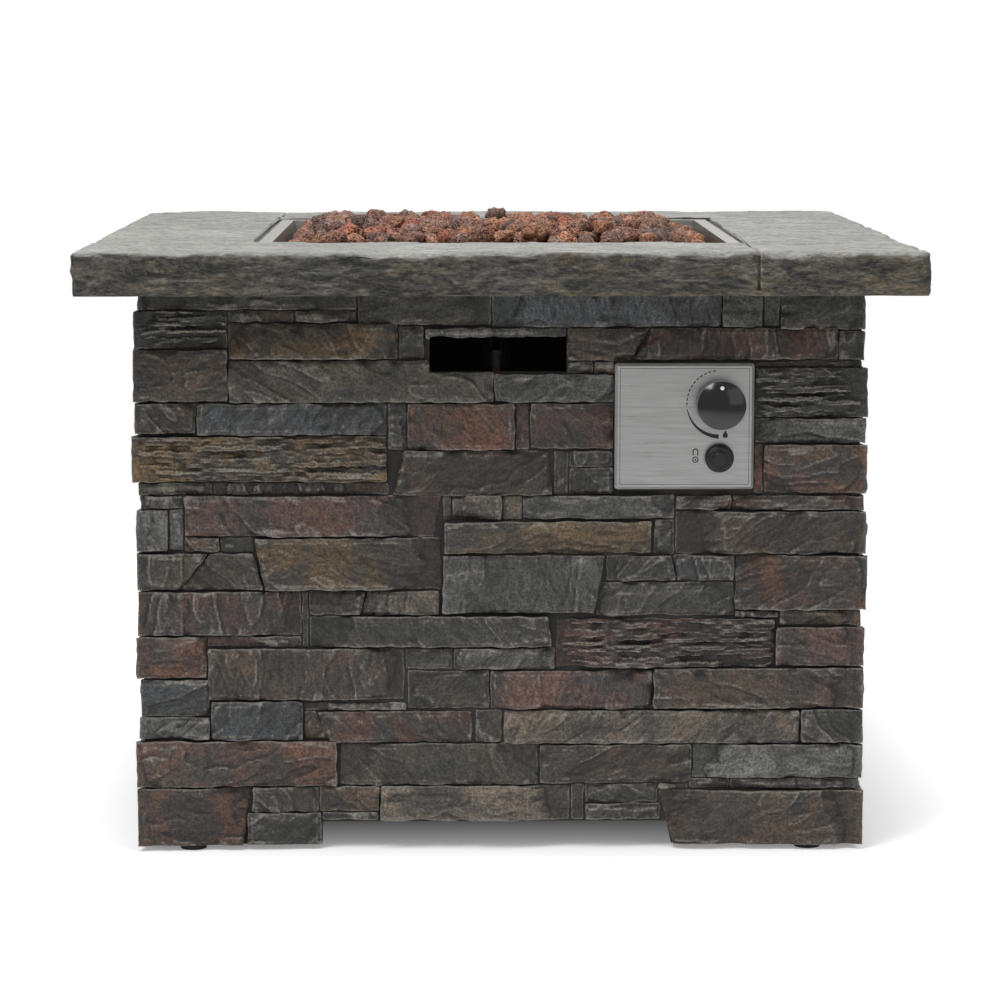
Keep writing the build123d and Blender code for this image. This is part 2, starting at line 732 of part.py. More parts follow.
# Cleats that tie the slab to the walls
for side, face in wall_faces.items():
    inner_face = face.offset(-wall_core)
    with BuildPart() as top_cleat:
        with BuildSketch(inner_face):
            with Locations((0, cleat_middle)):
                Rectangle(cleat_width, cleat_leg)
        extrude(amount=-cleat_sheet)
        with BuildSketch(inner_face):
            with Locations((0, slab_bottom - cleat_sheet / 2)):
                Rectangle(cleat_width, cleat_sheet)
        extrude(amount=-cleat_leg)
        with BuildSketch(inner_face):
            with Locations(*cleat_places):
                Circle(screw_diameter / 2 + clear_gap)
        extrude(amount=-cleat_sheet, mode=Mode.SUBTRACT)
        with BuildSketch(Plane.XY.offset(slab_bottom)):
            with Locations(*slab_screw_places):
                Circle(screw_diameter / 2 + clear_gap)
        extrude(amount=-cleat_sheet, mode=Mode.SUBTRACT)
    keep(top_cleat.part, f"top_cleat_{side}")

# Pan head screws through the cleats, into the walls and up into the slab
with BuildPart() as cleat_screws:
    for face in wall_faces.values():
        seat = face.offset(-wall_core - cleat_sheet)
        with BuildSketch(seat):
            with Locations(*cleat_places):
                Circle(screw_head_diameter / 2)
        extrude(amount=-screw_head_height)
        with BuildSketch(seat):
            with Locations(*cleat_places):
                Circle(screw_diameter / 2)
        extrude(amount=cleat_sheet + screw_grip)
    with BuildSketch(Plane.XY.offset(slab_bottom - cleat_sheet)):
        with Locations(*slab_screw_places):
            Circle(screw_head_diameter / 2)
    extrude(amount=-screw_head_height)
    with BuildSketch(Plane.XY.offset(slab_bottom - cleat_sheet)):
        with Locations(*slab_screw_places):
            Circle(screw_diameter / 2)
    extrude(amount=cleat_sheet + screw_grip)
keep(cleat_screws.part, "cleat_screws")

# Rubber feet under the corners, each with a sunk screw
foot_seat = wall_bottom - foot_height / 4
for corner, place in foot_places.items():
    with BuildPart() as rubber_foot:
        with BuildSketch():
            with Locations(place):
                Circle(foot_diameter / 2)
        extrude(amount=foot_height)
        with BuildSketch():
            with Locations(place):
                Circle(screw_diameter / 2 + clear_gap)
        extrude(amount=foot_height, mode=Mode.SUBTRACT)
        with BuildSketch():
            with Locations(place):
                Circle(screw_head_diameter / 2 + clear_gap)
        extrude(amount=foot_seat, mode=Mode.SUBTRACT)
    keep(rubber_foot.part, f"rubber_foot_{corner}")

with BuildPart() as foot_screws:
    with BuildSketch(Plane.XY.offset(foot_seat)):
        with Locations(*foot_places.values()):
            Circle(screw_head_diameter / 2)
    extrude(amount=-screw_head_height)
    with BuildSketch(Plane.XY.offset(foot_seat)):
        with Locations(*foot_places.values()):
            Circle(screw_diameter / 2)
    extrude(amount=wall_bottom - foot_seat + screw_grip)
keep(foot_screws.part, "foot_screws")

# Tapered burner pan hung by its flange in the rebate
hood_screw_places = [(pilot_x + side * hood_screw_spacing / 2, pilot_y) for side in (-1, 1)]

with BuildPart() as burner_pan:
    with BuildSketch(Plane.XY.offset(ledge_level)):
        Rectangle(pan_flange, pan_flange)
    extrude(amount=pan_sheet)
    with BuildSketch(Plane.XY.offset(ledge_level)):
        Rectangle(pan_mouth + 2 * pan_sheet, pan_mouth + 2 * pan_sheet)
    with BuildSketch(Plane.XY.offset(pan_underside)):
        Rectangle(pan_base + 2 * pan_sheet, pan_base + 2 * pan_sheet)
    loft()
    with BuildSketch(Plane.XY.offset(ledge_level + pan_sheet)):
        Rectangle(pan_mouth, pan_mouth)
    with BuildSketch(Plane.XY.offset(pan_floor)):
        Rectangle(pan_base, pan_base)
    loft(mode=Mode.SUBTRACT)
    with BuildSketch(Plane.XY.offset(pan_floor)):
        Circle(nipple_diameter / 2 + clear_gap)
        with Locations((spark_x, pilot_y)):
            Circle(ceramic_diameter / 2 + clear_gap)
        with Locations((probe_x, pilot_y)):
            Circle(probe_diameter / 2 + clear_gap)
        with Locations(*hood_screw_places):
            Circle(screw_diameter / 2 + fixed_gap)
    extrude(amount=-pan_sheet, mode=Mode.SUBTRACT)
keep(burner_pan.part, "burner_pan")

# Hollow burner ring with a crossbar, a hub and a threaded nipple
tube_radius = ring_tube_diameter / 2
bar_radius = bar_diameter / 2

with BuildPart() as burner_ring:
    with BuildSketch(Plane.YZ):
        with Locations((ring_radius, ring_level)):
            Circle(tube_radius)
    revolve(axis=Axis.Z)
    with BuildSketch(Plane.YZ):
        with Locations((0, ring_level)):
            Circle(bar_radius)
    extrude(amount=ring_radius, both=True)
    with BuildSketch(Plane.XY.offset(pan_floor)):
        Circle(hub_diameter / 2)
    extrude(amount=ring_lift)
    with BuildSketch(Plane.XY.offset(nipple_end)):
        Circle(nipple_diameter / 2)
    extrude(amount=ring_level - nipple_end)
    with BuildSketch(Plane.YZ):
        with Locations((ring_radius, ring_level)):
            Circle(tube_radius - ring_wall)
    revolve(axis=Axis.Z, mode=Mode.SUBTRACT)
    with BuildSketch(Plane.YZ):
        with Locations((0, ring_level)):
            Circle(bar_radius - ring_wall)
    extrude(amount=ring_radius, both=True, mode=Mode.SUBTRACT)
    with BuildSketch(Plane.XY.offset(nipple_end)):
        Circle(nipple_bore / 2)
    extrude(amount=ring_level - nipple_end, mode=Mode.SUBTRACT)
    with BuildSketch(Plane.XY.offset(ring_level)):
        with PolarLocations(ring_radius, port_count, start_angle=180 / port_count):
            Circle(port_diameter / 2)
    extrude(amount=ring_tube_diameter, mode=Mode.SUBTRACT)
keep(burner_ring.part, "burner_ring")

with BuildPart() as burner_nut:
    with BuildSketch(Plane.XY.offset(burner_nut_level)):
        RegularPolygon(burner_nut_width / 2, 6, major_radius=False)
        Circle(nipple_diameter / 2 + fixed_gap, mode=Mode.SUBTRACT)
    extrude(amount=burner_nut_height)
keep(burner_nut.part, "burner_nut")

# Air mixer under the nipple, open at four windows
with BuildPart() as air_mixer:
    with BuildSketch(Plane.XY.offset(mixer_bottom)):
        Circle(mixer_diameter / 2)
    extrude(amount=mixer_length)
    with BuildSketch(Plane.XY.offset(mixer_bottom + mixer_floor)):
        Circle(mixer_chamber / 2)
    extrude(amount=mixer_length, mode=Mode.SUBTRACT)
    with BuildSketch(Plane.XY.offset(nipple_end)):
        Circle(nipple_diameter / 2 + fixed_gap)
    extrude(amount=mixer_top - nipple_end, mode=Mode.SUBTRACT)
    with BuildSketch(Plane.XY.offset(mixer_bottom)):
        Circle(jet_thread_diameter / 2 + fixed_gap)
    extrude(amount=mixer_floor, mode=Mode.SUBTRACT)
    with BuildSketch(Plane.XY.offset(mixer_bottom + mixer_floor + window_lift)):
        Rectangle(window_width, 2 * mixer_diameter)
        Rectangle(2 * mixer_diameter, window_width)
    extrude(amount=window_height, mode=Mode.SUBTRACT)
keep(air_mixer.part, "air_mixer")

# Brass jet screwed into the mixer
with BuildPart() as burner_jet:
    with BuildSketch(Plane.XY.offset(jet_hex_level)):
        RegularPolygon(jet_hex_width / 2, 6, major_radius=False)
    extrude(amount=jet_hex_height)
    with BuildSketch(Plane.XY.offset(mixer_bottom)):
        Circle(jet_thread_diameter / 2)
    extrude(amount=jet_thread_length)
    with BuildSketch(Plane.XY.offset(mixer_bottom + jet_thread_length)):
        Circle(jet_thread_diameter / 2)
    with BuildSketch(Plane.XY.offset(mixer_bottom + jet_thread_length + jet_nose_length)):
        Circle(jet_nose_diameter / 2)
    loft()
    with BuildSketch(Plane.XY.offset(jet_end)):
        Circle(spigot_diameter / 2)
    extrude(amount=spigot_length)
    with BuildSketch(Plane.XY.offset(jet_end)):
        Circle(jet_bore / 2)
    extrude(amount=mixer_bottom + jet_thread_length - jet_end, mode=Mode.SUBTRACT)
    with BuildSketch(Plane.XY.offset(jet_end)):
        Circle(jet_orifice / 2)
    extrude(amount=mixer_bottom + jet_thread_length + jet_nose_length - jet_end, mode=Mode.SUBTRACT)
keep(burner_jet.part, "burner_jet")

# Hooded bracket that holds the spark rod and the flame sensor on the pan floor
rod_places = ((spark_x, ceramic_diameter), (probe_x, probe_diameter))
hood_back = pilot_y - hood_depth / 2

with BuildPart() as pilot_bracket:
    with BuildSketch(Plane.XY.offset(pan_floor)):
        with Locations((pilot_x, pilot_y)):
            Rectangle(hood_width, hood_depth)
        for rod_x, rod_diameter in rod_places:
            with Locations((rod_x, pilot_y)):
                Circle(rod_diameter / 2 + fixed_gap, mode=Mode.SUBTRACT)
        with Locations(*hood_screw_places):
            Circle(screw_diameter / 2 + clear_gap, mode=Mode.SUBTRACT)
    extrude(amount=hood_sheet)
    with BuildSketch(Plane.XY.offset(pan_floor)):
        with Locations((pilot_x, hood_back + hood_sheet / 2)):
            Rectangle(hood_width - 2 * screw_head_diameter, hood_sheet)
    extrude(amount=hood_height)
    with BuildSketch(Plane.XY.offset(pan_floor + hood_height - hood_sheet)):
        with Locations((pilot_x, pilot_y)):
            Rectangle(hood_width - 2 * screw_head_diameter, hood_depth)
    extrude(amount=hood_sheet)
keep(pilot_bracket.part, "pilot_bracket")

with BuildPart() as bracket_screws:
    with BuildSketch(Plane.XY.offset(pan_floor + hood_sheet)):
        with Locations(*hood_screw_places):
            Circle(screw_head_diameter / 2)
    extrude(amount=screw_head_height)
    with BuildSketch(Plane.XY.offset(pan_floor + hood_sheet)):
        with Locations(*hood_screw_places):
            Circle(screw_diameter / 2)
    extrude(amount=-screw_grip)
keep(bracket_screws.part, "bracket_screws")

# Spark rod: a ceramic sleeve with a wire tip
with BuildPart() as spark_electrode:
    with BuildSketch(Plane.XY.offset(rod_end)):
        with Locations((spark_x, pilot_y)):
            Circle(ceramic_diameter / 2)
    extrude(amount=pan_floor + ceramic_rise - rod_end)
    with BuildSketch(Plane.XY.offset(pan_floor + ceramic_rise)):
        with Locations((spark_x, pilot_y)):
            Circle(spark_wire_diameter / 2)
    extrude(amount=probe_rise - ceramic_rise)
keep(spark_electrode.part, "spark_electrode")

# Flame sensor: a probe, its lead and the nut at the rear of the valve
sensor_lead_start = valve_end + sensor_nut_length
sensor_route = [
    (knob_x, sensor_lead_start, knob_z),
    (knob_x, sensor_lead_start + lead_run, knob_z),
    (probe_x, pilot_y, rod_end - lead_run),
    (probe_x, pilot_y, rod_end),
]

with BuildPart() as flame_sensor:
    with BuildSketch(Plane.XY.offset(rod_end)):
        with Locations((probe_x, pilot_y)):
            Circle(probe_diameter / 2)
    extrude(amount=pan_floor + probe_rise - rod_end)
    with BuildSketch(facing(sensor_lead_start)):
        with Locations((knob_x, knob_z)):
            Circle(sensor_nut_diameter / 2)
    extrude(amount=sensor_nut_length)
    with BuildLine() as sensor_line:
        FilletPolyline(*sensor_route, radius=lead_bend)
    with BuildSketch(Plane(origin=sensor_line.line @ 0, z_dir=sensor_line.line % 0)):
        Circle(lead_diameter / 2)
    sweep(path=sensor_line.line)
keep(flame_sensor.part, "flame_sensor")

# Lead from the igniter to the spark rod
spark_route = [
    (terminal_x, terminal_y, button_z),
    (terminal_x - lead_run, terminal_y, button_z),
    (spark_x, pilot_y, rod_end - lead_run),
    (spark_x, pilot_y, rod_end),
]

with BuildPart() as ignition_lead:
    with BuildLine() as spark_line:
        FilletPolyline(*spark_route, radius=lead_bend)
    with BuildSketch(Plane(origin=spark_line.line @ 0, z_dir=spark_line.line % 0)):
        Circle(lead_diameter / 2)
    sweep(path=spark_line.line)
keep(ignition_lead.part, "ignition_lead")

# Gas tube from the valve to the jet, with a nut at each end
tube_route = [
    (outlet_end, outlet_y, knob_z),
    (outlet_end - tube_run, outlet_y, knob_z),
    (0, 0, jet_end - tube_drop),
    (0, 0, jet_end),
]

with BuildPart() as gas_tube:
    with BuildLine() as tube_line:
        FilletPolyline(*tube_route, radius=tube_bend)
    with BuildSketch(Plane(origin=tube_line.line @ 0, z_dir=tube_line.line % 0)):
        Circle(tube_diameter / 2)
        Circle(tube_bore / 2, mode=Mode.SUBTRACT)
    sweep(path=tube_line.line)
keep(gas_tube.part, "gas_tube")

nut_overlap = spigot_length - clear_gap
tube_ends = (
    Plane(origin=(outlet_end, outlet_y, knob_z), x_dir=(0, 1, 0), z_dir=(1, 0, 0)),
    Plane(origin=(0, 0, jet_end)),
)

with BuildPart() as tube_nuts:
    for tube_end in tube_ends:
        with BuildSketch(tube_end):
            RegularPolygon(tube_nut_width / 2, 6, major_radius=False)
            Circle(spigot_diameter / 2 + fixed_gap, mode=Mode.SUBTRACT)
        extrude(amount=nut_overlap)
        with BuildSketch(tube_end):
            RegularPolygon(tube_nut_width / 2, 6, major_radius=False)
            Circle(tube_diameter / 2 + fixed_gap, mode=Mode.SUBTRACT)
        extrude(amount=nut_overlap - tube_nut_length)
keep(tube_nuts.part, "tube_nuts")

# Lava rocks: chunks whose cut corners lie against their neighbours in the layers above and below
rock_layer_pitch = max(ring_lift + tube_radius, hood_height) + rock_clearance
rock_slope = 2 * rock_layer_pitch / rock_pitch
rock_girth = rock_pitch / 2 + rock_layer_pitch ** 2 / rock_pitch
corner_gap = clear_gap / 2 * sqrt(2 + rock_slope ** 2)
rock_taper = degrees(atan(rock_slope / sqrt(2)))
rock_square = sqrt(2) * (rock_girth - corner_gap)
rock_half = (rock_pitch - clear_gap) / 2
rock_level = pan_floor + clear_gap + rock_half_height
pan_slope = (pan_mouth - pan_base) / (pan_depth + pan_sheet)
rock_room = pan_base + pan_slope * (rock_layer_pitch + clear_gap)
rocks_across = int(rock_room // rock_pitch)
rock_draw = random.Random(rock_seed)


def near_burner(x, y):
    """Whether a rock of the lowest layer would stand in the burner or in the pilot bracket."""
    nearest = hypot(max(abs(x) - rock_half, 0), max(abs(y) - rock_half, 0))
    furthest = hypot(abs(x) + rock_half, abs(y) + rock_half)
    ring_reach = tube_radius + clear_gap
    on_ring = nearest < ring_radius + ring_reach and furthest > ring_radius - ring_reach
    on_bar = abs(y) < rock_half + hub_diameter / 2 and abs(x) < ring_radius + rock_half
    beside_hood = abs(x - pilot_x) < rock_half + hood_width / 2
    behind_hood = abs(y - pilot_y) < rock_half + hood_depth / 2
    return on_ring or on_bar or (beside_hood and behind_hood)


def rock_side():
    """One half width of a rock."""
    return rock_half * rock_draw.uniform(*rock_side_shares)


def lava_rock(x, y, z, flat_bottom):
    """One rock: a chunk with its eight corners cut, its faces drawn in by chance."""
    west, east, south, north = (rock_side() for _ in range(4))
    top = rock_half_height * rock_draw.uniform(*rock_top_shares)
    bottom = rock_half_height if flat_bottom else rock_half_height * rock_draw.uniform(*rock_top_shares)
    middle = Plane(origin=(x, y, z))
    with BuildPart(middle) as rock:
        with BuildSketch(middle):
            Rectangle(rock_square, rock_square, rotation=45)
        extrude(amount=rock_half_height, taper=rock_taper, both=True)
        with Locations(((east - west) / 2, (north - south) / 2, (top - bottom) / 2)):
            Box(east + west, north + south, top + bottom, mode=Mode.INTERSECT)
    return rock.part


rocks = []
for layer in range(3):
    row = rocks_across - (layer + 1) % 2
    for i in range(row):
        for j in range(row):
            x = (i - (row - 1) / 2) * rock_pitch
            y = (j - (row - 1) / 2) * rock_pitch
            if layer > 0 or not near_burner(x, y):
                rocks.append(lava_rock(x, y, rock_level + layer * rock_layer_pitch, layer == 0))

with BuildPart() as lava_rocks:
    add(rocks)
keep(lava_rocks.part, "lava_rocks")

# Stainless control panel: a shallow tray with a bevelled edge and four studs behind
valve_screw_places = [(knob_x + side * valve_screw_spacing / 2, knob_z) for side in (-1, 1)]

with BuildPart() as control_panel:
    with BuildSketch(facing(panel_face)):
        with Locations((panel_offset, panel_level)):
            RectangleRounded(panel_width, panel_height, panel_corner)
    extrude(amount=-panel_depth)
    chamfer(control_panel.faces().sort_by(Axis.Y)[0].edges(), length=panel_bevel)
    with BuildSketch(facing(panel_back)):
        with Locations((panel_offset, panel_level)):
            Rectangle(panel_width - 2 * panel_bevel, panel_height - 2 * panel_bevel)
    extrude(amount=-panel_depth, mode=Mode.SUBTRACT)
    with BuildSketch(facing(panel_back)):
        with Locations(*stud_places):
            Circle(stud_diameter / 2)
    extrude(amount=panel_back - stud_end)
    with BuildSketch(facing(panel_back)):
        with Locations((knob_x, knob_z)):
            Circle(stem_hole_diameter / 2)
        with Locations(*valve_screw_places):
            Circle(screw_diameter / 2 + clear_gap)
        with Locations((button_x, button_z)):
            Circle(igniter_diameter / 2 + clear_gap)
    extrude(amount=panel_sheet, mode=Mode.SUBTRACT)
keep(control_panel.part, "control_panel")

# Plate behind the wall that clamps the panel, with nuts on its studs
plate_slot = max(valve_block, igniter_diameter) + 2 * panel_gap
slot_top = knob_z + valve_block / 2 + panel_gap
slot_bottom = button_z - igniter_diameter / 2 - panel_gap

with BuildPart() as back_plate:
    with BuildSketch(facing(plate_face)):
        with Locations((panel_offset, panel_level)):
            Rectangle(panel_opening[0] + 2 * back_plate_lap, panel_opening[1] + 2 * back_plate_lap)
        with Locations((knob_x, (slot_top + slot_bottom) / 2)):
            Rectangle(plate_slot, slot_top - slot_bottom, mode=Mode.SUBTRACT)
        with Locations(*stud_places):
            Circle(stud_diameter / 2 + clear_gap, mode=Mode.SUBTRACT)
    extrude(amount=-back_plate_sheet)
keep(back_plate.part, "back_plate")

with BuildPart() as panel_nuts:
    with BuildSketch(facing(plate_back)):
        with Locations(*stud_places):
            RegularPolygon(stud_nut_width / 2, 6, major_radius=False)
        with Locations(*stud_places):
            Circle(stud_diameter / 2 + fixed_gap, mode=Mode.SUBTRACT)
    extrude(amount=-stud_nut_height)
keep(panel_nuts.part, "panel_nuts")

# Gas valve: a block with a round rear, a side outlet and an inlet below
with BuildPart() as gas_valve:
    with BuildSketch(facing(panel_back)):
        with Locations((knob_x, knob_z)):
            Rectangle(valve_block, valve_block)
    extrude(amount=-valve_block_length)
    with BuildSketch(facing(valve_shoulder)):
        with Locations((knob_x, knob_z)):
            Circle(valve_rear_diameter / 2)
    extrude(amount=-valve_rear_length)
    with BuildSketch(Plane.XY.offset(inlet_face)):
        with Locations((knob_x, inlet_y)):
            Circle(inlet_boss_diameter / 2)
    extrude(amount=inlet_boss_drop)
    with BuildSketch(Plane.YZ.offset(knob_x)):
        with Locations((outlet_y, knob_z)):
            Circle(outlet_boss_diameter / 2)
    extrude(amount=outlet_end + spigot_length - knob_x)
    with BuildSketch(Plane.YZ.offset(knob_x)):
        with Locations((outlet_y, knob_z)):
            Circle(spigot_diameter / 2)
    extrude(amount=outlet_end - knob_x)
    with BuildSketch(facing(panel_back)):
        with Locations((knob_x, knob_z)):
            Circle(stem_diameter / 2 + running_gap)
    extrude(amount=-stem_bore_length, mode=Mode.SUBTRACT)
    with BuildSketch(facing(stem_bore_end)):
        with Locations((knob_x, knob_z)):
            Circle(plunger_diameter / 2 + running_gap)
    extrude(amount=-chamber_length, mode=Mode.SUBTRACT)
    with BuildSketch(facing(panel_back)):
        with Locations(*valve_screw_places):
            Circle(screw_diameter / 2 + fixed_gap)
    extrude(amount=-screw_grip, mode=Mode.SUBTRACT)
    with BuildSketch(Plane.XY.offset(inlet_face)):
        with Locations((knob_x, inlet_y)):
            Circle(inlet_spigot_diameter / 2 + fixed_gap)
    extrude(amount=inlet_spigot_length + clear_gap, mode=Mode.SUBTRACT)
    with BuildSketch(Plane.YZ.offset(outlet_end)):
        with Locations((outlet_y, knob_z)):
            Circle(tube_bore / 2)
    extrude(amount=spigot_length + outlet_boss_length, mode=Mode.SUBTRACT)
keep(gas_valve.part, "gas_valve")

# Screws through the panel into the valve, hidden under the knob
with BuildPart() as valve_screws:
    with BuildSketch(facing(panel_face)):
        with Locations(*valve_screw_places):
            Circle(screw_head_diameter / 2)
    extrude(amount=screw_head_height)
    with BuildSketch(facing(panel_face)):
        with Locations(*valve_screw_places):
            Circle(screw_diameter / 2)
    extrude(amount=clear_gap - panel_sheet - screw_grip)
keep(valve_screws.part, "valve_screws")

# Flare fitting at the inlet, where a gas hose is screwed on
with BuildPart() as inlet_fitting:
    with BuildSketch(Plane.XY.offset(inlet_thread_level)):
        with Locations((knob_x, inlet_y)):
            RegularPolygon(inlet_hex_width / 2, 6, major_radius=False)
    extrude(amount=inlet_hex_height)
    with BuildSketch(Plane.XY.offset(inlet_face)):
        with Locations((knob_x, inlet_y)):
            Circle(inlet_spigot_diameter / 2)
    extrude(amount=inlet_spigot_length)
    with BuildSketch(Plane.XY.offset(inlet_thread_level)):
        with Locations((knob_x, inlet_y)):
            Circle(inlet_thread_diameter / 2)
    extrude(amount=-inlet_thread_length)
    with BuildSketch(Plane.XY.offset(inlet_thread_level - inlet_thread_length)):
        with Locations((knob_x, inlet_y)):
            Circle(inlet_thread_diameter / 2)
    with BuildSketch(Plane.XY.offset(inlet_nose_level)):
        with Locations((knob_x, inlet_y)):
            Circle(inlet_nose_diameter / 2)
    loft()
    with BuildSketch(Plane.XY.offset(inlet_nose_level)):
        with Locations((knob_x, inlet_y)):
            Circle(inlet_bore / 2)
    extrude(amount=inlet_face + inlet_spigot_length - inlet_nose_level, mode=Mode.SUBTRACT)
keep(inlet_fitting.part, "inlet_fitting")

# Valve plunger, pushed in with the knob
with BuildPart() as valve_plunger:
    with BuildSketch(facing(plunger_face)):
        with Locations((knob_x, knob_z)):
            Circle(plunger_diameter / 2)
    extrude(amount=-plunger_length)
    with BuildSketch(facing(plunger_face)):
        with Locations((knob_x, knob_z)):
            Circle(stem_pin_diameter / 2 + running_gap)
    extrude(amount=-stem_pin_length - clear_gap, mode=Mode.SUBTRACT)
keep(valve_plunger.part, "valve_plunger")

# Valve stem with a flat for the knob and a pin that turns in the plunger
flat_offset = stem_diameter / 2 - stem_flat

with BuildPart() as valve_stem:
    with BuildSketch(facing(stem_bore_end)):
        with Locations((knob_x, knob_z)):
            Circle(stem_diameter / 2)
    extrude(amount=stem_bore_end - stem_front)
    with BuildSketch(facing(knob_back)):
        with Locations((knob_x, knob_z - flat_offset)):
            Rectangle(stem_diameter, stem_diameter, align=(Align.CENTER, Align.MAX))
    extrude(amount=knob_back - stem_front, mode=Mode.SUBTRACT)
    with BuildSketch(facing(stem_bore_end)):
        with Locations((knob_x, knob_z)):
            Circle(stem_pin_diameter / 2)
    extrude(amount=-stem_pin_length)
keep(valve_stem.part, "valve_stem")

# Domed knob, hollow behind, with a boss on the stem and a sunk mark at the top
knob_radius = knob_diameter / 2
hollow_radius = knob_radius - knob_wall
mark_level = knob_z + knob_radius - knob_mark_inset
mark_share = (knob_radius - knob_mark_inset) / knob_radius
mark_seat = knob_front + knob_dome * mark_share ** 2 + knob_mark_depth

with BuildPart() as knob:
    with BuildSketch(Plane.XY.offset(knob_z)):
        with BuildLine():
            Polyline((knob_x, knob_front), (knob_x, knob_back), (knob_x + knob_radius, knob_back),
                     (knob_x + knob_radius, knob_shoulder))
            RadiusArc((knob_x + knob_radius, knob_shoulder), (knob_x, knob_front),
                      (knob_radius ** 2 + knob_dome ** 2) / (2 * knob_dome))
        make_face()
    revolve(axis=Axis((knob_x, 0, knob_z), (0, 1, 0)))
    with BuildSketch(facing(knob_back)):
        with Locations((knob_x, knob_z)):
            Circle(hollow_radius)
            Circle(knob_boss_diameter / 2, mode=Mode.SUBTRACT)
    extrude(amount=knob_hollow, mode=Mode.SUBTRACT)
    with BuildSketch(facing(knob_back)):
        with Locations((knob_x, knob_z)):
            Circle(stem_diameter / 2 + fixed_gap)
        with Locations((knob_x, knob_z - flat_offset - fixed_gap)):
            flat_align = (Align.CENTER, Align.MAX)
            Rectangle(knob_boss_diameter, knob_boss_diameter, align=flat_align, mode=Mode.SUBTRACT)
    extrude(amount=knob_back - stem_front + clear_gap, mode=Mode.SUBTRACT)
    with BuildSketch(facing(mark_seat)):
        with Locations((knob_x, mark_level)):
            Circle(knob_mark_diameter / 2)
    extrude(amount=knob_dome, mode=Mode.SUBTRACT)
keep(knob.part, "knob")

# Igniter housing: collar in front of the panel, barrel behind it and a terminal at the side
with BuildPart() as igniter_body:
    with BuildSketch(facing(panel_face)):
        with Locations((button_x, button_z)):
            Circle(collar_diameter / 2)
    extrude(amount=collar_depth)
    with BuildSketch(facing(panel_face)):
        with Locations((button_x, button_z)):
            Circle(igniter_diameter / 2)
    extrude(amount=panel_face - igniter_end)
    with BuildSketch(Plane.YZ.offset(button_x)):
        with Locations((terminal_y, button_z)):
            Circle(terminal_diameter / 2)
    extrude(amount=terminal_x - button_x)
    with BuildSketch(facing(collar_face)):
        with Locations((button_x, button_z)):
            Circle(socket_diameter / 2)
    extrude(amount=-socket_depth, mode=Mode.SUBTRACT)
    with BuildSketch(facing(battery_end)):
        with Locations((button_x, button_z)):
            Circle(battery_diameter / 2 + clear_gap)
    extrude(amount=battery_end - socket_end, mode=Mode.SUBTRACT)
keep(igniter_body.part, "igniter_body")

with BuildPart() as igniter_nut:
    with BuildSketch(facing(panel_back)):
        with Locations((button_x, button_z)):
            RegularPolygon(igniter_nut_diameter / 2, 6)
            Circle(igniter_diameter / 2 + fixed_gap, mode=Mode.SUBTRACT)
    extrude(amount=-igniter_nut_height)
keep(igniter_nut.part, "igniter_nut")

# Screw cap over the battery, with the push button through it
with BuildPart() as igniter_cap:
    with BuildSketch(facing(cap_back)):
        with Locations((button_x, button_z)):
            Circle(cap_diameter / 2)
    extrude(amount=cap_depth)
    chamfer(igniter_cap.faces().sort_by(Axis.Y)[0].edges(), length=cap_edge)
    with BuildSketch(facing(cap_back)):
        with Locations((button_x, button_z)):
            Circle(socket_diameter / 2 - running_gap)
    extrude(amount=-cap_spigot_length)
    with BuildSketch(facing(cap_back + cap_spigot_length)):
        with Locations((button_x, button_z)):
            Circle(button_diameter / 2 + running_gap)
    extrude(amount=cap_spigot_length + cap_depth, mode=Mode.SUBTRACT)
keep(igniter_cap.part, "igniter_cap")

flange_face = cap_back + cap_spigot_length + clear_gap

with BuildPart() as igniter_button:
    with BuildSketch(facing(flange_face)):
        with Locations((button_x, button_z)):
            Circle(button_diameter / 2)
    extrude(amount=flange_face - cap_face + button_rise)
    chamfer(igniter_button.faces().sort_by(Axis.Y)[0].edges(), length=button_edge)
    with BuildSketch(facing(flange_face)):
        with Locations((button_x, button_z)):
            Circle(button_diameter / 2 + button_flange)
    extrude(amount=-button_flange)
keep(igniter_button.part, "igniter_button")

# Dry cell in the housing and the spring contact behind it
with BuildPart() as igniter_battery:
    with BuildSketch(facing(battery_front)):
        with Locations((button_x, button_z)):
            Circle(battery_diameter / 2)
    extrude(amount=-battery_length + battery_nub_length)
    with BuildSketch(facing(battery_back)):
        with Locations((button_x, button_z)):
            Circle(battery_nub_diameter / 2)
    extrude(amount=battery_nub_length)
keep(igniter_battery.part, "igniter_battery")

with BuildPart() as battery_contact:
    with BuildSketch(facing(battery_end)):
        with Locations((button_x, button_z)):
            Circle(battery_diameter / 2)
    extrude(amount=contact_sheet)
    with BuildSketch(facing(battery_end - contact_sheet)):
        with Locations((button_x, button_z)):
            Circle(battery_nub_diameter / 2)
    with BuildSketch(facing(battery_back)):
        with Locations((button_x, button_z)):
            Circle(battery_nub_diameter / 4)
    loft()
keep(battery_contact.part, "battery_contact")
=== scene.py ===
# %% [markdown]
# A square gas fire table: a cast slab on four walls of cast ledge stone, a sunk pan of lava rock,
# and a steel panel with a gas knob and a push-button igniter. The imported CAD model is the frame. It
# holds every size and place, so each cell below reads them from it and adds what CAD leaves plain:
# broken stone faces, porous rock, brushed steel and moulded plastic.

# %% Load the frame
import json
import math
import random

import bmesh
import bpy
from mathutils import Matrix, Vector, noise


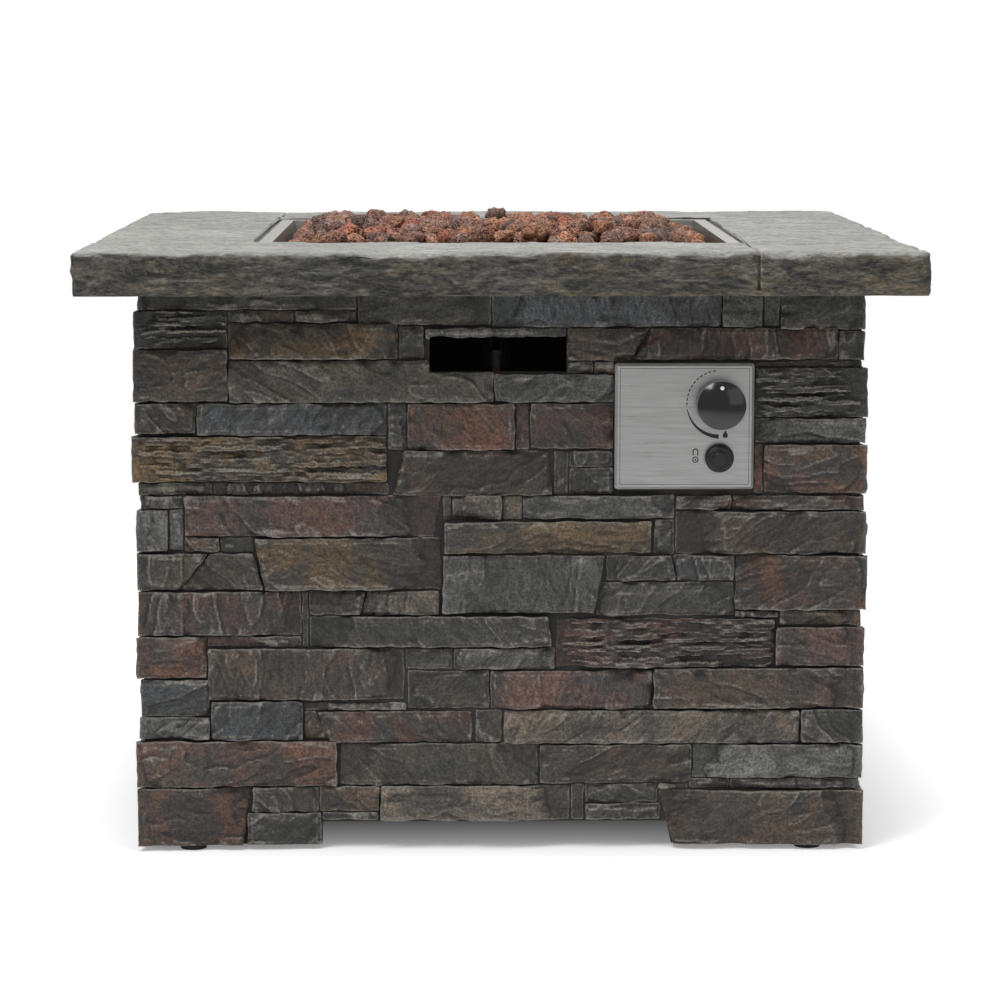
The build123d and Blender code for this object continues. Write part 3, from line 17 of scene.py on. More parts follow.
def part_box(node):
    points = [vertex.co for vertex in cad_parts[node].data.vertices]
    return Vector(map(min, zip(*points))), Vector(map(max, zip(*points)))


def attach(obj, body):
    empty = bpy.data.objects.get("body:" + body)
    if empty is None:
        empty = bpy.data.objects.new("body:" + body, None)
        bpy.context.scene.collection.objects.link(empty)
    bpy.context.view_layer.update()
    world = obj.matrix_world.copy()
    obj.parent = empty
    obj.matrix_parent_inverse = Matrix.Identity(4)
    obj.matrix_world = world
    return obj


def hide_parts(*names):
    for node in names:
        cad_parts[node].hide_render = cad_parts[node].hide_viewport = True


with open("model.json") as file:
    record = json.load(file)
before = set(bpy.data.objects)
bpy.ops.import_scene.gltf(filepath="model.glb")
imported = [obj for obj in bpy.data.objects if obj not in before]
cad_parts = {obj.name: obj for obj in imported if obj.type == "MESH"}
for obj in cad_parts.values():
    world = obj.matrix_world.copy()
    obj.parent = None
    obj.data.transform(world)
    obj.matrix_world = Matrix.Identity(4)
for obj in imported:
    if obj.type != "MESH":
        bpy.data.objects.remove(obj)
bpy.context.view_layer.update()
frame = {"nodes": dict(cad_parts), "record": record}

mm = 0.001
main_body = "fire_pit"
scene = bpy.context.scene

# %% [markdown]
# Every finish is a small node tree around one Principled shader. A few short helpers are enough: one
# turns a hex colour to linear light, one starts a finish, one adds a node with its settings and
# links, and one links the last nodes to the shader. Pattern scales are written from real sizes: a Noise
# texture on Object coordinates repeats about once per metre at scale 1, so a 3 mm grain needs a scale
# of one over 3 mm.

# %% Helpers for finishes
def linear(code):
    """A colour such as #8a8a85 as linear red, green, blue and alpha."""
    parts = [int(code[i:i + 2], 16) / 255 for i in (1, 3, 5)]
    return [c / 12.92 if c <= 0.04045 else ((c + 0.055) / 1.055) ** 2.4 for c in parts] + [1.0]


def main_output(source):
    """The socket itself, or a node's main output: its first, or the colour of a Mix node in colour mode."""
    if isinstance(source, bpy.types.NodeSocket):
        return source
    return source.outputs[mix_result if getattr(source, "data_type", "") == "RGBA" else 0]


def add(tree, kind, inputs=None, **settings):
    """Add one node, set its properties, and set its inputs or link them to sockets or other nodes."""
    node = tree.nodes.new("ShaderNode" + kind)
    for name, value in settings.items():
        setattr(node, name, value)
    for key, value in (inputs or {}).items():
        if isinstance(value, (bpy.types.Node, bpy.types.NodeSocket)):
            tree.links.new(main_output(value), node.inputs[key])
        else:
            node.inputs[key].default_value = value
    return node


def start_finish(name, **sockets):
    """A new finish: its material, its node tree, its shader and its Object coordinates."""
    material = bpy.data.materials.new(name)
    material.use_nodes = True
    tree = material.node_tree
    tree.nodes.clear()
    shader = add(tree, "BsdfPrincipled", {key.replace("_", " "): value for key, value in sockets.items()})
    add(tree, "OutputMaterial", {"Surface": shader})
    return material, tree, shader, add(tree, "TexCoord").outputs["Object"]


def link_finish(tree, shader, **nodes):
    """Link the last nodes of a finish to sockets of its shader."""
    for key, node in nodes.items():
        tree.links.new(main_output(node), shader.inputs[key.replace("_", " ")])


# A Mix node in colour mode takes its two colours on sockets 6 and 7 and gives the result on socket 2
blend, multiply = {"data_type": "RGBA"}, {"data_type": "RGBA", "blend_type": "MULTIPLY"}
mix_a, mix_b, mix_result = 6, 7, 2
print("helpers ready")

# %% [markdown]
# The stones are cast in a cement mix, coloured by hand in browns, rusts and slate greys, and then
# finished by dry brushing. The finish makes every crest pale and every hollow dark, partly as that
# paint and partly as painted highlight and painted shade. Each stone carries its two colours and how
# far each point stands out of its surroundings as attributes on the mesh, so the finish only has to
# blend them and add grain.

# %% Cast ledge stone
ledge_stone, tree, shader, where = start_finish("cast_ledge_stone", Roughness=0.6, IOR=1.5)
tint = add(tree, "Attribute", attribute_name="tint").outputs["Color"]
accent = add(tree, "Attribute", attribute_name="accent").outputs["Color"]
crest = add(tree, "Attribute", attribute_name="crest").outputs["Fac"]
cleft = add(tree, "Attribute", attribute_name="cleft").outputs["Vector"]
patch_size, wash_size, pit_size = 42 * mm, 85 * mm, 2.2 * mm
patches = add(tree, "TexNoise", {"Vector": where, "Scale": 1 / patch_size, "Detail": 7, "Roughness": 0.6,
                                 "Distortion": 0.7})
patchy = add(tree, "MapRange", {"Value": patches, "From Min": 0.44, "From Max": 0.6})
ground = add(tree, "Mix", {0: patchy, mix_a: tint, mix_b: accent}, **blend)
fog = add(tree, "TexNoise", {"Vector": where, "Scale": 1 / wash_size, "Detail": 5, "Roughness": 0.65})
foggy = add(tree, "MapRange", {"Value": fog, "From Min": 0.4, "From Max": 0.62, "To Max": 0.62})
greyed = add(tree, "Mix", {0: foggy, mix_a: ground, mix_b: linear("#343331")}, **blend)
grain = add(tree, "TexNoise", {"Vector": cleft, "Scale": 1.0, "Detail": 8, "Roughness": 0.68, "Distortion": 0.4})
pits = add(tree, "TexNoise", {"Vector": where, "Scale": 1 / pit_size, "Detail": 4, "Roughness": 0.65})
streaky = add(tree, "MapRange", {"Value": grain, "From Min": 0.3, "From Max": 0.7,
                                 "To Min": 0.5, "To Max": 1.4})
flecked = add(tree, "MapRange", {"Value": pits, "From Min": 0.38, "From Max": 0.62,
                                 "To Min": 0.45, "To Max": 1.6})
speckle = add(tree, "Math", {0: streaky, 1: flecked}, operation="MULTIPLY")
grained = add(tree, "Mix", {0: 1.0, mix_a: greyed, mix_b: speckle}, **multiply)
# Painted shade: points that stand out less than their neighbours, and the sides of each stone, are darkened, partly
# as darker paint in the hollows and partly as shade there.
wash_and_painted_shade = add(tree, "MapRange", {"Value": crest, "From Min": 0.15, "From Max": 0.5, "To Min": 0.15, "To Max": 1.0})
washed_and_shaded = add(tree, "Mix", {0: 1.0, mix_a: grained, mix_b: wash_and_painted_shade}, **multiply)
ridge = add(tree, "Math", {0: grain, 1: 0.53}, operation="SUBTRACT")
ridge = add(tree, "Math", {0: ridge}, operation="ABSOLUTE")
vein = add(tree, "MapRange", {"Value": ridge, "From Min": 0.0, "From Max": 0.014, "To Min": 0.16,
                              "To Max": 0.0})
# Painted highlight: points that stand out of their neighbours turn pale, partly as the pale paint of dry brushing
# and partly as highlight on crests. Thin pale veins follow the grain.
brush_and_painted_highlight = add(tree, "MapRange", {"Value": crest, "From Min": 0.6, "From Max": 1.0, "To Max": 0.7})
speckled_painted_highlight = add(tree, "Math", {0: brush_and_painted_highlight, 1: speckle}, operation="MULTIPLY")
paled = add(tree, "Math", {0: speckled_painted_highlight, 1: vein}, operation="MAXIMUM")
brushed_and_highlit = add(tree, "Mix", {0: paled, mix_a: washed_and_shaded, mix_b: linear("#88847c")}, **blend)
fine = add(tree, "Bump", {"Height": pits, "Strength": 0.25, "Distance": 0.4 * mm})
rough = add(tree, "Bump", {"Height": grain, "Strength": 0.7, "Distance": 1.7 * mm, "Normal": fine})
link_finish(tree, shader, Base_Color=brushed_and_highlit, Normal=rough)
print("finish", ledge_stone.name)

# %% [markdown]
# The stones sit in a bed of dark mortar that shows only in the joints. It is sand and cement, so a fine
# noise the size of coarse sand is enough, and almost no gloss.

# %% Dark mortar between the stones
mortar, tree, shader, where = start_finish("dark_mortar", Roughness=0.95)
sand_size = 2.5 * mm
sand = add(tree, "TexNoise", {"Vector": where, "Scale": 1 / sand_size, "Detail": 4})
sandy = add(tree, "Mix", {0: sand, mix_a: linear("#1a1918"), mix_b: linear("#383532")}, **blend)
gritty = add(tree, "Bump", {"Height": sand, "Strength": 0.5, "Distance": 0.6 * mm})
link_finish(tree, shader, Base_Color=sandy, Normal=gritty)
print("finish", mortar.name)

# %% [markdown]
# The CAD walls already hold every stone as a flat block, so the outlines come from there: a copy of
# the wall's mesh is merged, its flat triangles are joined to whole faces, and each face that looks
# outwards in front of the mortar is one stone. With the blocks pressed flat, the same copy is the
# mortar bed that shows in the joints.

# %% Read the stones from the walls
wall_turns = {"front_wall": 0, "right_wall": 90, "back_wall": 180, "left_wall": 270}
wall_core, mortar_rise, post_rise, block_rise = 14, 1.2, 3.5, 8
mortar_plane = -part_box("back_plate")[0][1] / mm + wall_core
body_width = 2 * (mortar_plane + block_rise)
wall_low, wall_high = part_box("front_wall")[0][2] / mm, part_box("front_wall")[1][2] / mm


def merged_copy(node, turn=0):
    """A copy of a CAD node in millimetres, merged to whole faces and turned so that its wall faces the front."""
    copy = bmesh.new()
    copy.from_mesh(frame["nodes"][node].data)
    bmesh.ops.scale(copy, vec=[1 / mm] * 3, verts=copy.verts[:])
    bmesh.ops.rotate(copy, verts=copy.verts[:], matrix=Matrix.Rotation(-math.radians(turn), 3, "Z"))
    bmesh.ops.remove_doubles(copy, verts=copy.verts[:], dist=0.01)
    bmesh.ops.dissolve_limit(copy, angle_limit=math.radians(1), verts=copy.verts[:], edges=copy.edges[:])
    return copy


def even_places(low, high, step):
    """Evenly spaced places between two ends, without the ends."""
    cuts = max(round((high - low) / step), 3)
    return [low + (high - low) * k / cuts for k in range(1, cuts)]


def cut_faces(maker, faces, axis, places):
    """Cut faces with planes across an axis, from the lowest place up, so that each cut has less left to do."""
    side = Vector([float(axis == k) for k in range(3)])
    for place in places:
        geom = [*faces, *(e for f in faces for e in f.edges), *(v for f in faces for v in f.verts)]
        made = bmesh.ops.bisect_plane(maker, geom=list(dict.fromkeys(geom)), dist=0.01, plane_co=side * place,
                                      plane_no=side)["geom"]
        faces = [f for f in made if isinstance(f, bmesh.types.BMFace) and f.calc_center_median()[axis] > place]


def stone_outlines(wall):
    """The outline of each stone on a wall and how far it stands out of the mortar."""
    fronts = [f for f in wall.faces if f.normal.y < -0.99 and -f.calc_center_median().y > mortar_plane + 1]
    return [([(v.co.x, v.co.z) for v in f.verts], -f.calc_center_median().y - mortar_plane) for f in fronts]


def press_to_mortar(wall):
    """Press the stone blocks of a wall flat, which leaves its mortar bed."""
    bed_plane = mortar_plane + mortar_rise
    for v in wall.verts:
        if -v.co.y > mortar_plane - 0.01:
            v.co.y = -bed_plane
            v.co.x = min(max(v.co.x, -bed_plane), bed_plane)
    bmesh.ops.remove_doubles(wall, verts=wall.verts[:], dist=0.01)
    bmesh.ops.dissolve_degenerate(wall, dist=0.01, edges=wall.edges[:])


walls = {node: merged_copy(node, turn) for node, turn in wall_turns.items()}
outlines = {node: stone_outlines(wall) for node, wall in walls.items()}
print("stones", {node: len(found) for node, found in outlines.items()})

# %% [markdown]
# Colours are named as a mason would name them: a main tint and an accent that clouds it. On the front
# each finish is given to the stones nearest to a list of places, as shares of the wall's width and
# height. The other walls draw theirs by chance, with the common colours more often.

# %% Stone colours
stone_tints = {
    "charcoal": ("#484743", "#32312f"), "slate": ("#575a5d", "#3d3f42"), "rust": ("#744d39", "#453c37"),
    "umber": ("#5c4a3a", "#3c3630"), "ochre": ("#806744", "#4c4336"), "olive": ("#5d5a49", "#403f38"),
    "tan": ("#807261", "#5b534b"), "ash": ("#71716e", "#51514f"), "maroon": ("#694a40", "#433b38"),
}
front_tint_shares = {
    "charcoal": [(.15, .98), (.94, .97), (.06, .93), (.98, .90), (.92, .82), (.36, .76), (.62, .70), (.62, .66),
                 (.03, .62), (.14, .55), (.72, .56), (.69, .50), (.73, .45), (.40, .39), (.40, .34), (.96, .22),
                 (.91, .11), (.20, .03), (.29, .05), (.67, .09), (.67, .06)],
    "slate": [(.64, .97), (.26, .83), (.21, .77), (.78, .50), (.05, .27), (.16, .23)],
    "rust": [(.82, .91), (.44, .76), (.93, .68), (.78, .62), (.91, .62), (.91, .48), (.05, .34), (.36, .22),
             (.14, .15), (.07, .05)],
    "umber": [(.17, .96), (.63, .91), (.92, .87), (.06, .85), (.61, .86), (.64, .86), (.04, .78), (.23, .65),
              (.46, .68), (.09, .55), (.87, .57), (.27, .44), (.85, .42), (.94, .41), (.23, .31), (.85, .29),
              (.30, .25), (.66, .15), (.79, .11), (.20, .08), (.29, .08), (.74, .11), (.87, .05)],
    "ochre": [(.24, .91), (.17, .70), (.30, .51), (.56, .56)],
    "olive": [(.39, .97), (.38, .91), (.05, .65), (.03, .50), (.11, .50), (.43, .28), (.41, .15)],
    "tan": [(.26, .96), (.47, .61), (.36, .44), (.71, .21), (.46, .08)],
    "ash": [(.83, .97), (.49, .93), (.57, .83), (.92, .75), (.02, .57), (.63, .62), (.52, .48), (.50, .34),
            (.05, .21), (.88, .15)],
    "maroon": [(.60, .76), (.24, .60), (.11, .42), (.73, .37), (.94, .36), (.60, .28)],
}
bedded_shares = [(.06, .93), (.92, .82), (.17, .70), (.73, .37)]
common_tints = ["charcoal"] * 5 + ["umber"] * 5 + ["rust"] * 3 + ["olive"] * 3 + ["slate"] * 2 + ["ash"] * 2
common_tints += ["ochre", "tan", "maroon", "maroon"]


def nearest_place(share, places):
    """The smallest distance from a place on the wall to any of a list of places."""
    return min(math.dist(share, place) for place in places)


print("tints", len(stone_tints))

# %% [markdown]
# A cast ledge stone keeps the shape of the split stone its mould was taken from, and most of what
# happens to it happens at its rim, where it frays, chips and wears. So the first helpers measure how
# far a point is from the rim of its stone. The corner of the body is no rim, because two walls share
# it: there both walls follow the same wave, which leaves no gap between them.

# %% Rims and corners
def smooth_step(low, high, value):
    """0 below low, 1 above high and a smooth rise between."""
    share = min(max((value - low) / (high - low), 0), 1)
    return share * share * (3 - 2 * share)


def rim_of(u, v, edges):
    """The distance from a point to the nearest edge of its stone, and the way inwards from that edge."""
    best, inwards = 1e9, (0, 0)
    for ax, az, dx, dz, length2, nx, nz in edges:
        share = min(max(((u - ax) * dx + (v - az) * dz) / length2, 0), 1)
        gap = math.hypot(u - ax - share * dx, v - az - share * dz)
        if gap < best:
            best, inwards = gap, (nx, nz)
    return best, inwards


def outline_edges(outline, reach):
    """The edges of an outline with their inward directions, without those on the corner of the body."""
    area = sum(a[0] * b[1] - b[0] * a[1] for a, b in zip(outline, outline[1:] + outline[:1]))
    turn = 1 if area > 0 else -1
    edges = []
    for (ax, az), (bx, bz) in zip(outline, outline[1:] + outline[:1]):
        dx, dz = bx - ax, bz - az
        length = math.hypot(dx, dz)
        if min(abs(ax), abs(bx)) < reach - 0.5:
            edges.append((ax, az, dx, dz, length ** 2, -turn * dz / length, turn * dx / length))
    return edges


def corner_wave(v):
    """How far the corner of the body wanders at a height, the same for both walls that meet there."""
    return 1.3 * noise.noise((0, v * 0.03, 7.7)) + 0.7 * noise.noise((0, v * 0.13, 3.1))


print("corner wanders", round(corner_wave(wall_high), 2), "mm at the top")

# %% [markdown]
# The face of a split stone is one cleft plane, a little tilted, with flat chips knocked off it. Rock
# splits in flat levels, so plain noise would look like dough: it is cut into treads with steep risers
# between them, along the direction in which the stone splits. A few stones show their beds as deep
# lines from end to end. Knocks and wear at the rim come last.

# %% Relief of one stone
def treads(value, riser):
    """A smooth value cut into flat treads, as rock splits along its beds. The riser is the share that slopes."""
    level = math.floor(value)
    return level + smooth_step(1 - riser, 1, value - level)


def along_cleft(u, v, look):
    """A place on a stone's face turned to the direction in which that stone splits."""
    return u * look["cos"] + v * look["sin"], v * look["cos"] - u * look["sin"]


def stone_relief(u, v, gap, look):
    """Height of a stone's face over its flat block, in millimetres. Noise is read in waves per millimetre."""
    seed = look["seed"]
    chip_ragged, bed_riser = 6, 0.72
    knock_reach, knock_start, knock_depth = 14, 0.2, 8
    wear_width, wear_wander = 3.4, 2.2
    p, q = along_cleft(u, v, look)
    height = look["tilt_u"] * u / look["half_u"] + look["tilt_v"] * v / look["half_v"]
    for side_u, side_v, start, slope in look["chips"]:
        ragged = chip_ragged * noise.noise((u * 0.03, v * 0.03, seed + 31))
        height = min(height, slope * (start + ragged - u * side_u - v * side_v))
    broad = noise.fractal((p * 0.009, q * 0.021, seed), 1.0, 2.1, 3)
    height += look["riser"] * (treads(broad * 2.4, 0.28) * 0.7 + 0.6 * broad)
    small = noise.fractal((p * 0.026, q * 0.05, seed + 4), 0.9, 2.1, 3)
    height += 0.5 * treads(small * 1.7, 0.35) + 0.4 * noise.noise((p * 0.11, q * 0.15, seed + 6))
    if look["bed_step"]:
        line = v + 5 * noise.noise((u * 0.009, v * 0.02, seed))
        line = line + 1.5 * noise.fractal((u * 0.07, v * 0.12, seed), 0.7, 2.3, 4)
        line = line / look["bed"] + 0.7 * noise.noise((seed, v * 0.06, u * 0.004))
        bed = math.floor(line)
        share = smooth_step(bed_riser, 1.0, line - bed)
        steps = [noise.noise((k * 3.7, seed + 0.5, u * 0.02)) + 0.5 * noise.noise((k * 5.3, seed, u * 0.09))
                 for k in (bed, bed + 1)]
        height += look["bed_step"] * (steps[0] * (1 - share) + steps[1] * share - 0.3)
    knock = noise.noise((u * 0.045, v * 0.06, seed + 9))
    if gap < knock_reach and knock > knock_start:
        height -= knock_depth * (knock - knock_start) * (1 - gap / knock_reach)
    worn = wear_width + wear_wander * noise.noise((u * 0.05, v * 0.05, seed + 12))
    if gap < worn:
        height -= look["rim_drop"] * (1 - gap / worn)
    return height


print("treads", [round(treads(k / 4, 0.3), 2) for k in range(5)])

# %% [markdown]
# Each stone starts as its flat outline, is cut into a fine grid with bisect_plane and gets its sides and
# back by extruding the rim. The points of its front are then moved by the relief. A Displace modifier
# could push them too, but it knows nothing of a stone's own rim, corner and beds. Last, each point keeps
# how far it stands out of its neighbours, which tells the finish where to put painted highlight and painted shade.

# %% Carve one stone
bedded_grid, least_stand, back_sink = 0.65, 1.8, 0.5
corner_drop, corner_slope, corner_blend = 0.5, 0.25, 9
fray_width, fray_swing, fray_in = 7, 1.5, 0.7
crest_back, crest_flat, crest_gain, crest_proud = 0.15, 0.5, 1.7, 0.03


def carve_stone(outline, block, spacing, look):
    """One closed stone in millimetres, with its colours, crests and cleft as layers on its points."""
    stone = bmesh.new()
    layers = stone.verts.layers
    tint, accent = layers.float_color.new("tint"), layers.float_color.new("accent")
    crest, cleft = layers.float.new("crest"), layers.float_vector.new("cleft")
    face_y, reach = -(mortar_plane + block), mortar_plane + block
    spacing *= bedded_grid if look["bed_step"] else 1
    stone.faces.new([stone.verts.new((x, face_y, z)) for x, z in outline])
    for axis, along in ((0, 0), (2, 1)):
        ends = [p[along] for p in outline]
        cut_faces(stone, stone.faces[:], axis, even_places(min(ends), max(ends), spacing))
    rim_edges = [e for e in stone.edges if e.is_boundary]
    front = stone.verts[:]
    made = bmesh.ops.extrude_edge_only(stone, edges=rim_edges)["geom"]
    back = [v for v in made if isinstance(v, bmesh.types.BMVert)]
    bmesh.ops.contextual_create(stone, geom=[e for e in made if isinstance(e, bmesh.types.BMEdge)])
    edges = outline_edges(outline, mortar_plane)
    mid_u, mid_v = look["middle"]
    for v in stone.verts:
        p, q = along_cleft(v.co.x - mid_u, v.co.z - mid_v, look)
        v[tint], v[accent], v[crest] = look["tint"], look["accent"], crest_back
        v[cleft] = (p / look["long"], q / look["short"], look["seed"])
    for v in front:
        u, z = v.co.x, v.co.z
        gap, inwards = rim_of(u, z, edges)
        from_corner = reach - abs(u)
        height = max(stone_relief(u - mid_u, z - mid_v, gap, look), least_stand - block,
                     -corner_drop - corner_slope * from_corner)
        share = smooth_step(0, corner_blend, from_corner)
        height = height * share + corner_wave(z) * (1 - share)
        fray = fray_swing * noise.noise((u * 0.08, z * 0.08, look["seed"] + 5)) - fray_in
        ragged = max(1 - gap / fray_width, 0) * fray
        v.co.y = face_y - height
        v.co.x = u + inwards[0] * ragged if abs(u) < reach - 1 else math.copysign(reach + height, u)
        v.co.z = min(max(z + inwards[1] * ragged, wall_low), wall_high)
    for v in back:
        v.co.y = -mortar_plane + back_sink
        v.co.x = min(max(v.co.x, back_sink - mortar_plane), mortar_plane - back_sink)
    bmesh.ops.remove_doubles(stone, verts=back, dist=0.01)
    bmesh.ops.triangulate(stone, faces=stone.faces[:], quad_method="SHORT_EDGE")
    bmesh.ops.recalc_face_normals(stone, faces=stone.faces[:])
    stone.normal_update()
    # Crest: how far each point stands out of its neighbours and how high it stands on its stone, which the finish
    # turns into painted highlight and painted shade. Sides and back keep crest_back, the darkest painted shade.
    on_front = set(front)
    for v in front:
        near = [e.other_vert(v) for e in v.link_edges if e.other_vert(v) in on_front]
        stands = sum((v.co - other.co).dot(v.normal) for other in near) / len(near)
        proud = crest_proud * (face_y - v.co.y)
        v[crest] = min(max(crest_flat + stands / spacing * crest_gain + proud, 0), 1)
    return stone


print("carver ready")

# %% [markdown]
# No two stones are alike, so each one draws its own tilt, chips, beds and colours from a seeded
# generator, which gives the same wall every time. A second helper turns a finished mesh into a
# piece that rides on a body of the frame.

# %% The look of one stone
def stone_look(outline, draw, share, on_front):
    """The chance qualities of one stone: tilt, chips, beds and colours."""
    us, vs = [p[0] for p in outline], [p[1] for p in outline]
    half_u, half_v = (max(us) - min(us)) / 2, (max(vs) - min(vs)) / 2
    chips = []
    for _ in range(draw.choice((2, 3, 3, 4))):
        angle = draw.uniform(0, 2 * math.pi)
        side_u, side_v = math.cos(angle), math.sin(angle)
        edge = abs(side_u) * half_u + abs(side_v) * half_v
        chips.append((side_u, side_v, edge * draw.uniform(0.45, 0.92), draw.uniform(0.12, 0.5)))
    bedded = draw.random() < 0.1
    angle = math.radians(draw.choice((-1, 1)) * draw.uniform(5, 50) if draw.random() < 0.8 else 90)
    angle = 0 if bedded else angle
    name = draw.choice(common_tints)
    if on_front:
        bedded = nearest_place(share, bedded_shares) < 0.03
        angle = 0 if bedded else angle
        name = min(front_tint_shares, key=lambda tint: nearest_place(share, front_tint_shares[tint]))
    shade, short = draw.uniform(0.34, 0.79), draw.uniform(4, 8)
    colours = [[c * shade for c in linear(code)[:3]] + [1] for code in stone_tints[name]]
    return {
        "seed": draw.uniform(0, 900), "half_u": half_u, "half_v": half_v, "chips": chips,
        "middle": ((max(us) + min(us)) / 2, (max(vs) + min(vs)) / 2),
        "cos": math.cos(angle), "sin": math.sin(angle), "short": short, "long": short * draw.uniform(1, 3.2),
        "tilt_u": draw.uniform(-2.2, 2.2), "tilt_v": draw.uniform(-1.2, 2.0), "riser": draw.uniform(1.4, 2.8),
        "bed": draw.uniform(3.4, 5), "bed_step": 7 if bedded else 0, "rim_drop": draw.uniform(0.9, 2.2),
        "tint": colours[0], "accent": colours[1],
    }


def add_piece(name, maker, finish, body, replaced=(), smooth=True):
    """Turn a bmesh in millimetres into an object that rides on a body and takes its finish."""
    bmesh.ops.scale(maker, vec=[mm] * 3, verts=maker.verts[:])
    if smooth:
        for face in maker.faces:
            face.smooth = True
    mesh = bpy.data.meshes.new(name)
    maker.to_mesh(mesh)
    maker.free()
    mesh.materials.append(finish)
    piece = bpy.data.objects.new(name, mesh)
    scene.collection.objects.link(piece)
    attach(piece, body)
    if replaced:
        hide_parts(*replaced)
    print(name, len(mesh.polygons), "faces")
    return piece


print("common tints", len(common_tints))

# %% [markdown]
# One wall is about a hundred such stones over its mortar bed, with a post of mortar behind the corner
# that it shares with the next wall. The front wall is seen closest, so its grid is finer. The stones are
# kept in two halves, so that no piece has too many faces.

# %% Build the four walls
first_seed, fine_spacing, coarse_spacing = 41, 1.9, 3.2
for number, (node, turn) in enumerate(wall_turns.items()):
    draw = random.Random(first_seed + number)
    spacing = fine_spacing if node == "front_wall" else coarse_spacing
    halves = {"upper": bmesh.new(), "lower": bmesh.new()}
    for outline, block in outlines[node]:
        middle = [sum(p[axis] for p in outline) / len(outline) for axis in (0, 1)]
        share = (middle[0] / body_width + 0.5, (middle[1] - wall_low) / (wall_high - wall_low))
        stone = carve_stone(outline, block, spacing, stone_look(outline, draw, share, node == "front_wall"))
        carved = bpy.data.meshes.new("carved")
        stone.to_mesh(carved)
        halves["upper" if share[1] > 0.5 else "lower"].from_mesh(carved)
        stone.free()
        bpy.data.meshes.remove(carved)
    bed = walls[node]
    press_to_mortar(bed)
    post = bmesh.ops.create_cube(bed, size=1)["verts"]
    bmesh.ops.scale(bed, vec=(2 * post_rise, 2 * post_rise, wall_high - wall_low), verts=post)
    bmesh.ops.translate(bed, vec=(mortar_plane, -mortar_plane, (wall_low + wall_high) / 2), verts=post)
    for part in (*halves.values(), bed):
        bmesh.ops.rotate(part, verts=part.verts[:], matrix=Matrix.Rotation(math.radians(turn), 3, "Z"))
    for half, stones in halves.items():
        replaced = (node,) if half == "upper" else ()
        add_piece(f"{node}_stones_{half}", stones, ledge_stone, main_body, replaced)
    add_piece(node + "_mortar", bed, mortar, main_body, smooth=False)

# %% [markdown]
# Plain metals and plastics keep their CAD shapes and only get a finish. Brushed or plated metal is told
# by streaks or crystals in its shine, moulded ABS by a clean highlight on near black, glazed porcelain
# by a wet one on white, and rubber by almost none. One noise in colour and roughness is enough for each.
# Brush lines and moulding grain are too fine to show from here, so they are drawn as coarse as they
# need to be.

# %% Metals, plastics and rubber
def simple_finish(name, dark, light, size, stretch=(1, 1, 1), bump=0.1, spread=0.1, **sockets):
    """A finish whose colour and roughness vary with one noise of a real size."""
    material, tree, shader, where = start_finish(name, **sockets)
    turned = add(tree, "Mapping", {"Vector": where, "Scale": stretch})
    streaks = add(tree, "TexNoise", {"Vector": turned, "Scale": 1 / size, "Detail": 4})
    shades = add(tree, "Mix", {0: streaks, mix_a: linear(dark), mix_b: linear(light)}, **blend)
    middle = shader.inputs["Roughness"].default_value
    gloss = add(tree, "MapRange", {"Value": streaks, "To Min": middle - spread, "To Max": middle + spread})
    marks = add(tree, "Bump", {"Height": streaks, "Strength": bump, "Distance": 0.1 * mm})
    link_finish(tree, shader, Base_Color=shades, Roughness=gloss, Normal=marks)
    return material


finishes = {
    "zinc_steel": simple_finish("zinc_plated_steel", "#8d9093", "#b9bbbd", 9 * mm, Metallic=1.0, Roughness=0.38),
    "pan_steel": simple_finish("galvanised_pan_steel", "#75736e", "#8c8a84", 14 * mm, Metallic=1.0, Roughness=0.4),
    "burner_steel": simple_finish("satin_stainless", "#8a8985", "#a9a7a2", 6 * mm, Metallic=1.0, Roughness=0.35),
    "panel_steel": simple_finish("brushed_stainless", "#a6a7a7", "#cfd0d0", 1.2 * mm, (0.03, 1, 1), Metallic=1.0,
                                 Roughness=0.32),
    "brass": simple_finish("turned_brass", "#a8843f", "#c9a557", 5 * mm, Metallic=1.0, Roughness=0.3),
    "aluminium": simple_finish("cast_aluminium", "#a9abac", "#c8c9c9", 4 * mm, Metallic=1.0, Roughness=0.42),
    "knob_plastic": simple_finish("gloss_black_abs", "#0b0b0c", "#141415", 3 * mm, bump=0.02, spread=0.04,
                                  Roughness=0.16, IOR=1.54),
    "igniter_plastic": simple_finish("satin_black_abs", "#0c0c0d", "#1b1b1c", 1.5 * mm, Roughness=0.38, IOR=1.54),
    "ceramic": simple_finish("white_porcelain", "#dedad0", "#efece4", 8 * mm, Roughness=0.18, IOR=1.52),
    "foot_rubber": simple_finish("black_rubber", "#101010", "#1d1d1d", 3 * mm, bump=0.3, Roughness=0.8, IOR=1.52),
    "lead_silicone": simple_finish("red_silicone", "#7d1914", "#96241c", 6 * mm, Roughness=0.5, IOR=1.41),
    "cell_case": simple_finish("printed_sleeve", "#45474b", "#585a5f", 7 * mm, Roughness=0.3, IOR=1.5),
}
for entry in frame["record"]["subparts"]:
    finish = finishes.get(entry["material_slot"])
    if finish:
        for material_slot in frame["nodes"][entry["node"]].material_slots:
            material_slot.material = finish
print("finishes", len(finishes))

# %% [markdown]
# The slab is cast to look like riven slate: a pale, nearly flat top and rough, broken edges in dark
# grey and brown. One finish does both, and an attribute on the mesh tells it where the edge is. Slate
# splits in flakes, so a slanted noise is cut into levels: each level ends in a dark line of painted
# shadow and the next one starts with a pale rim of painted highlight.

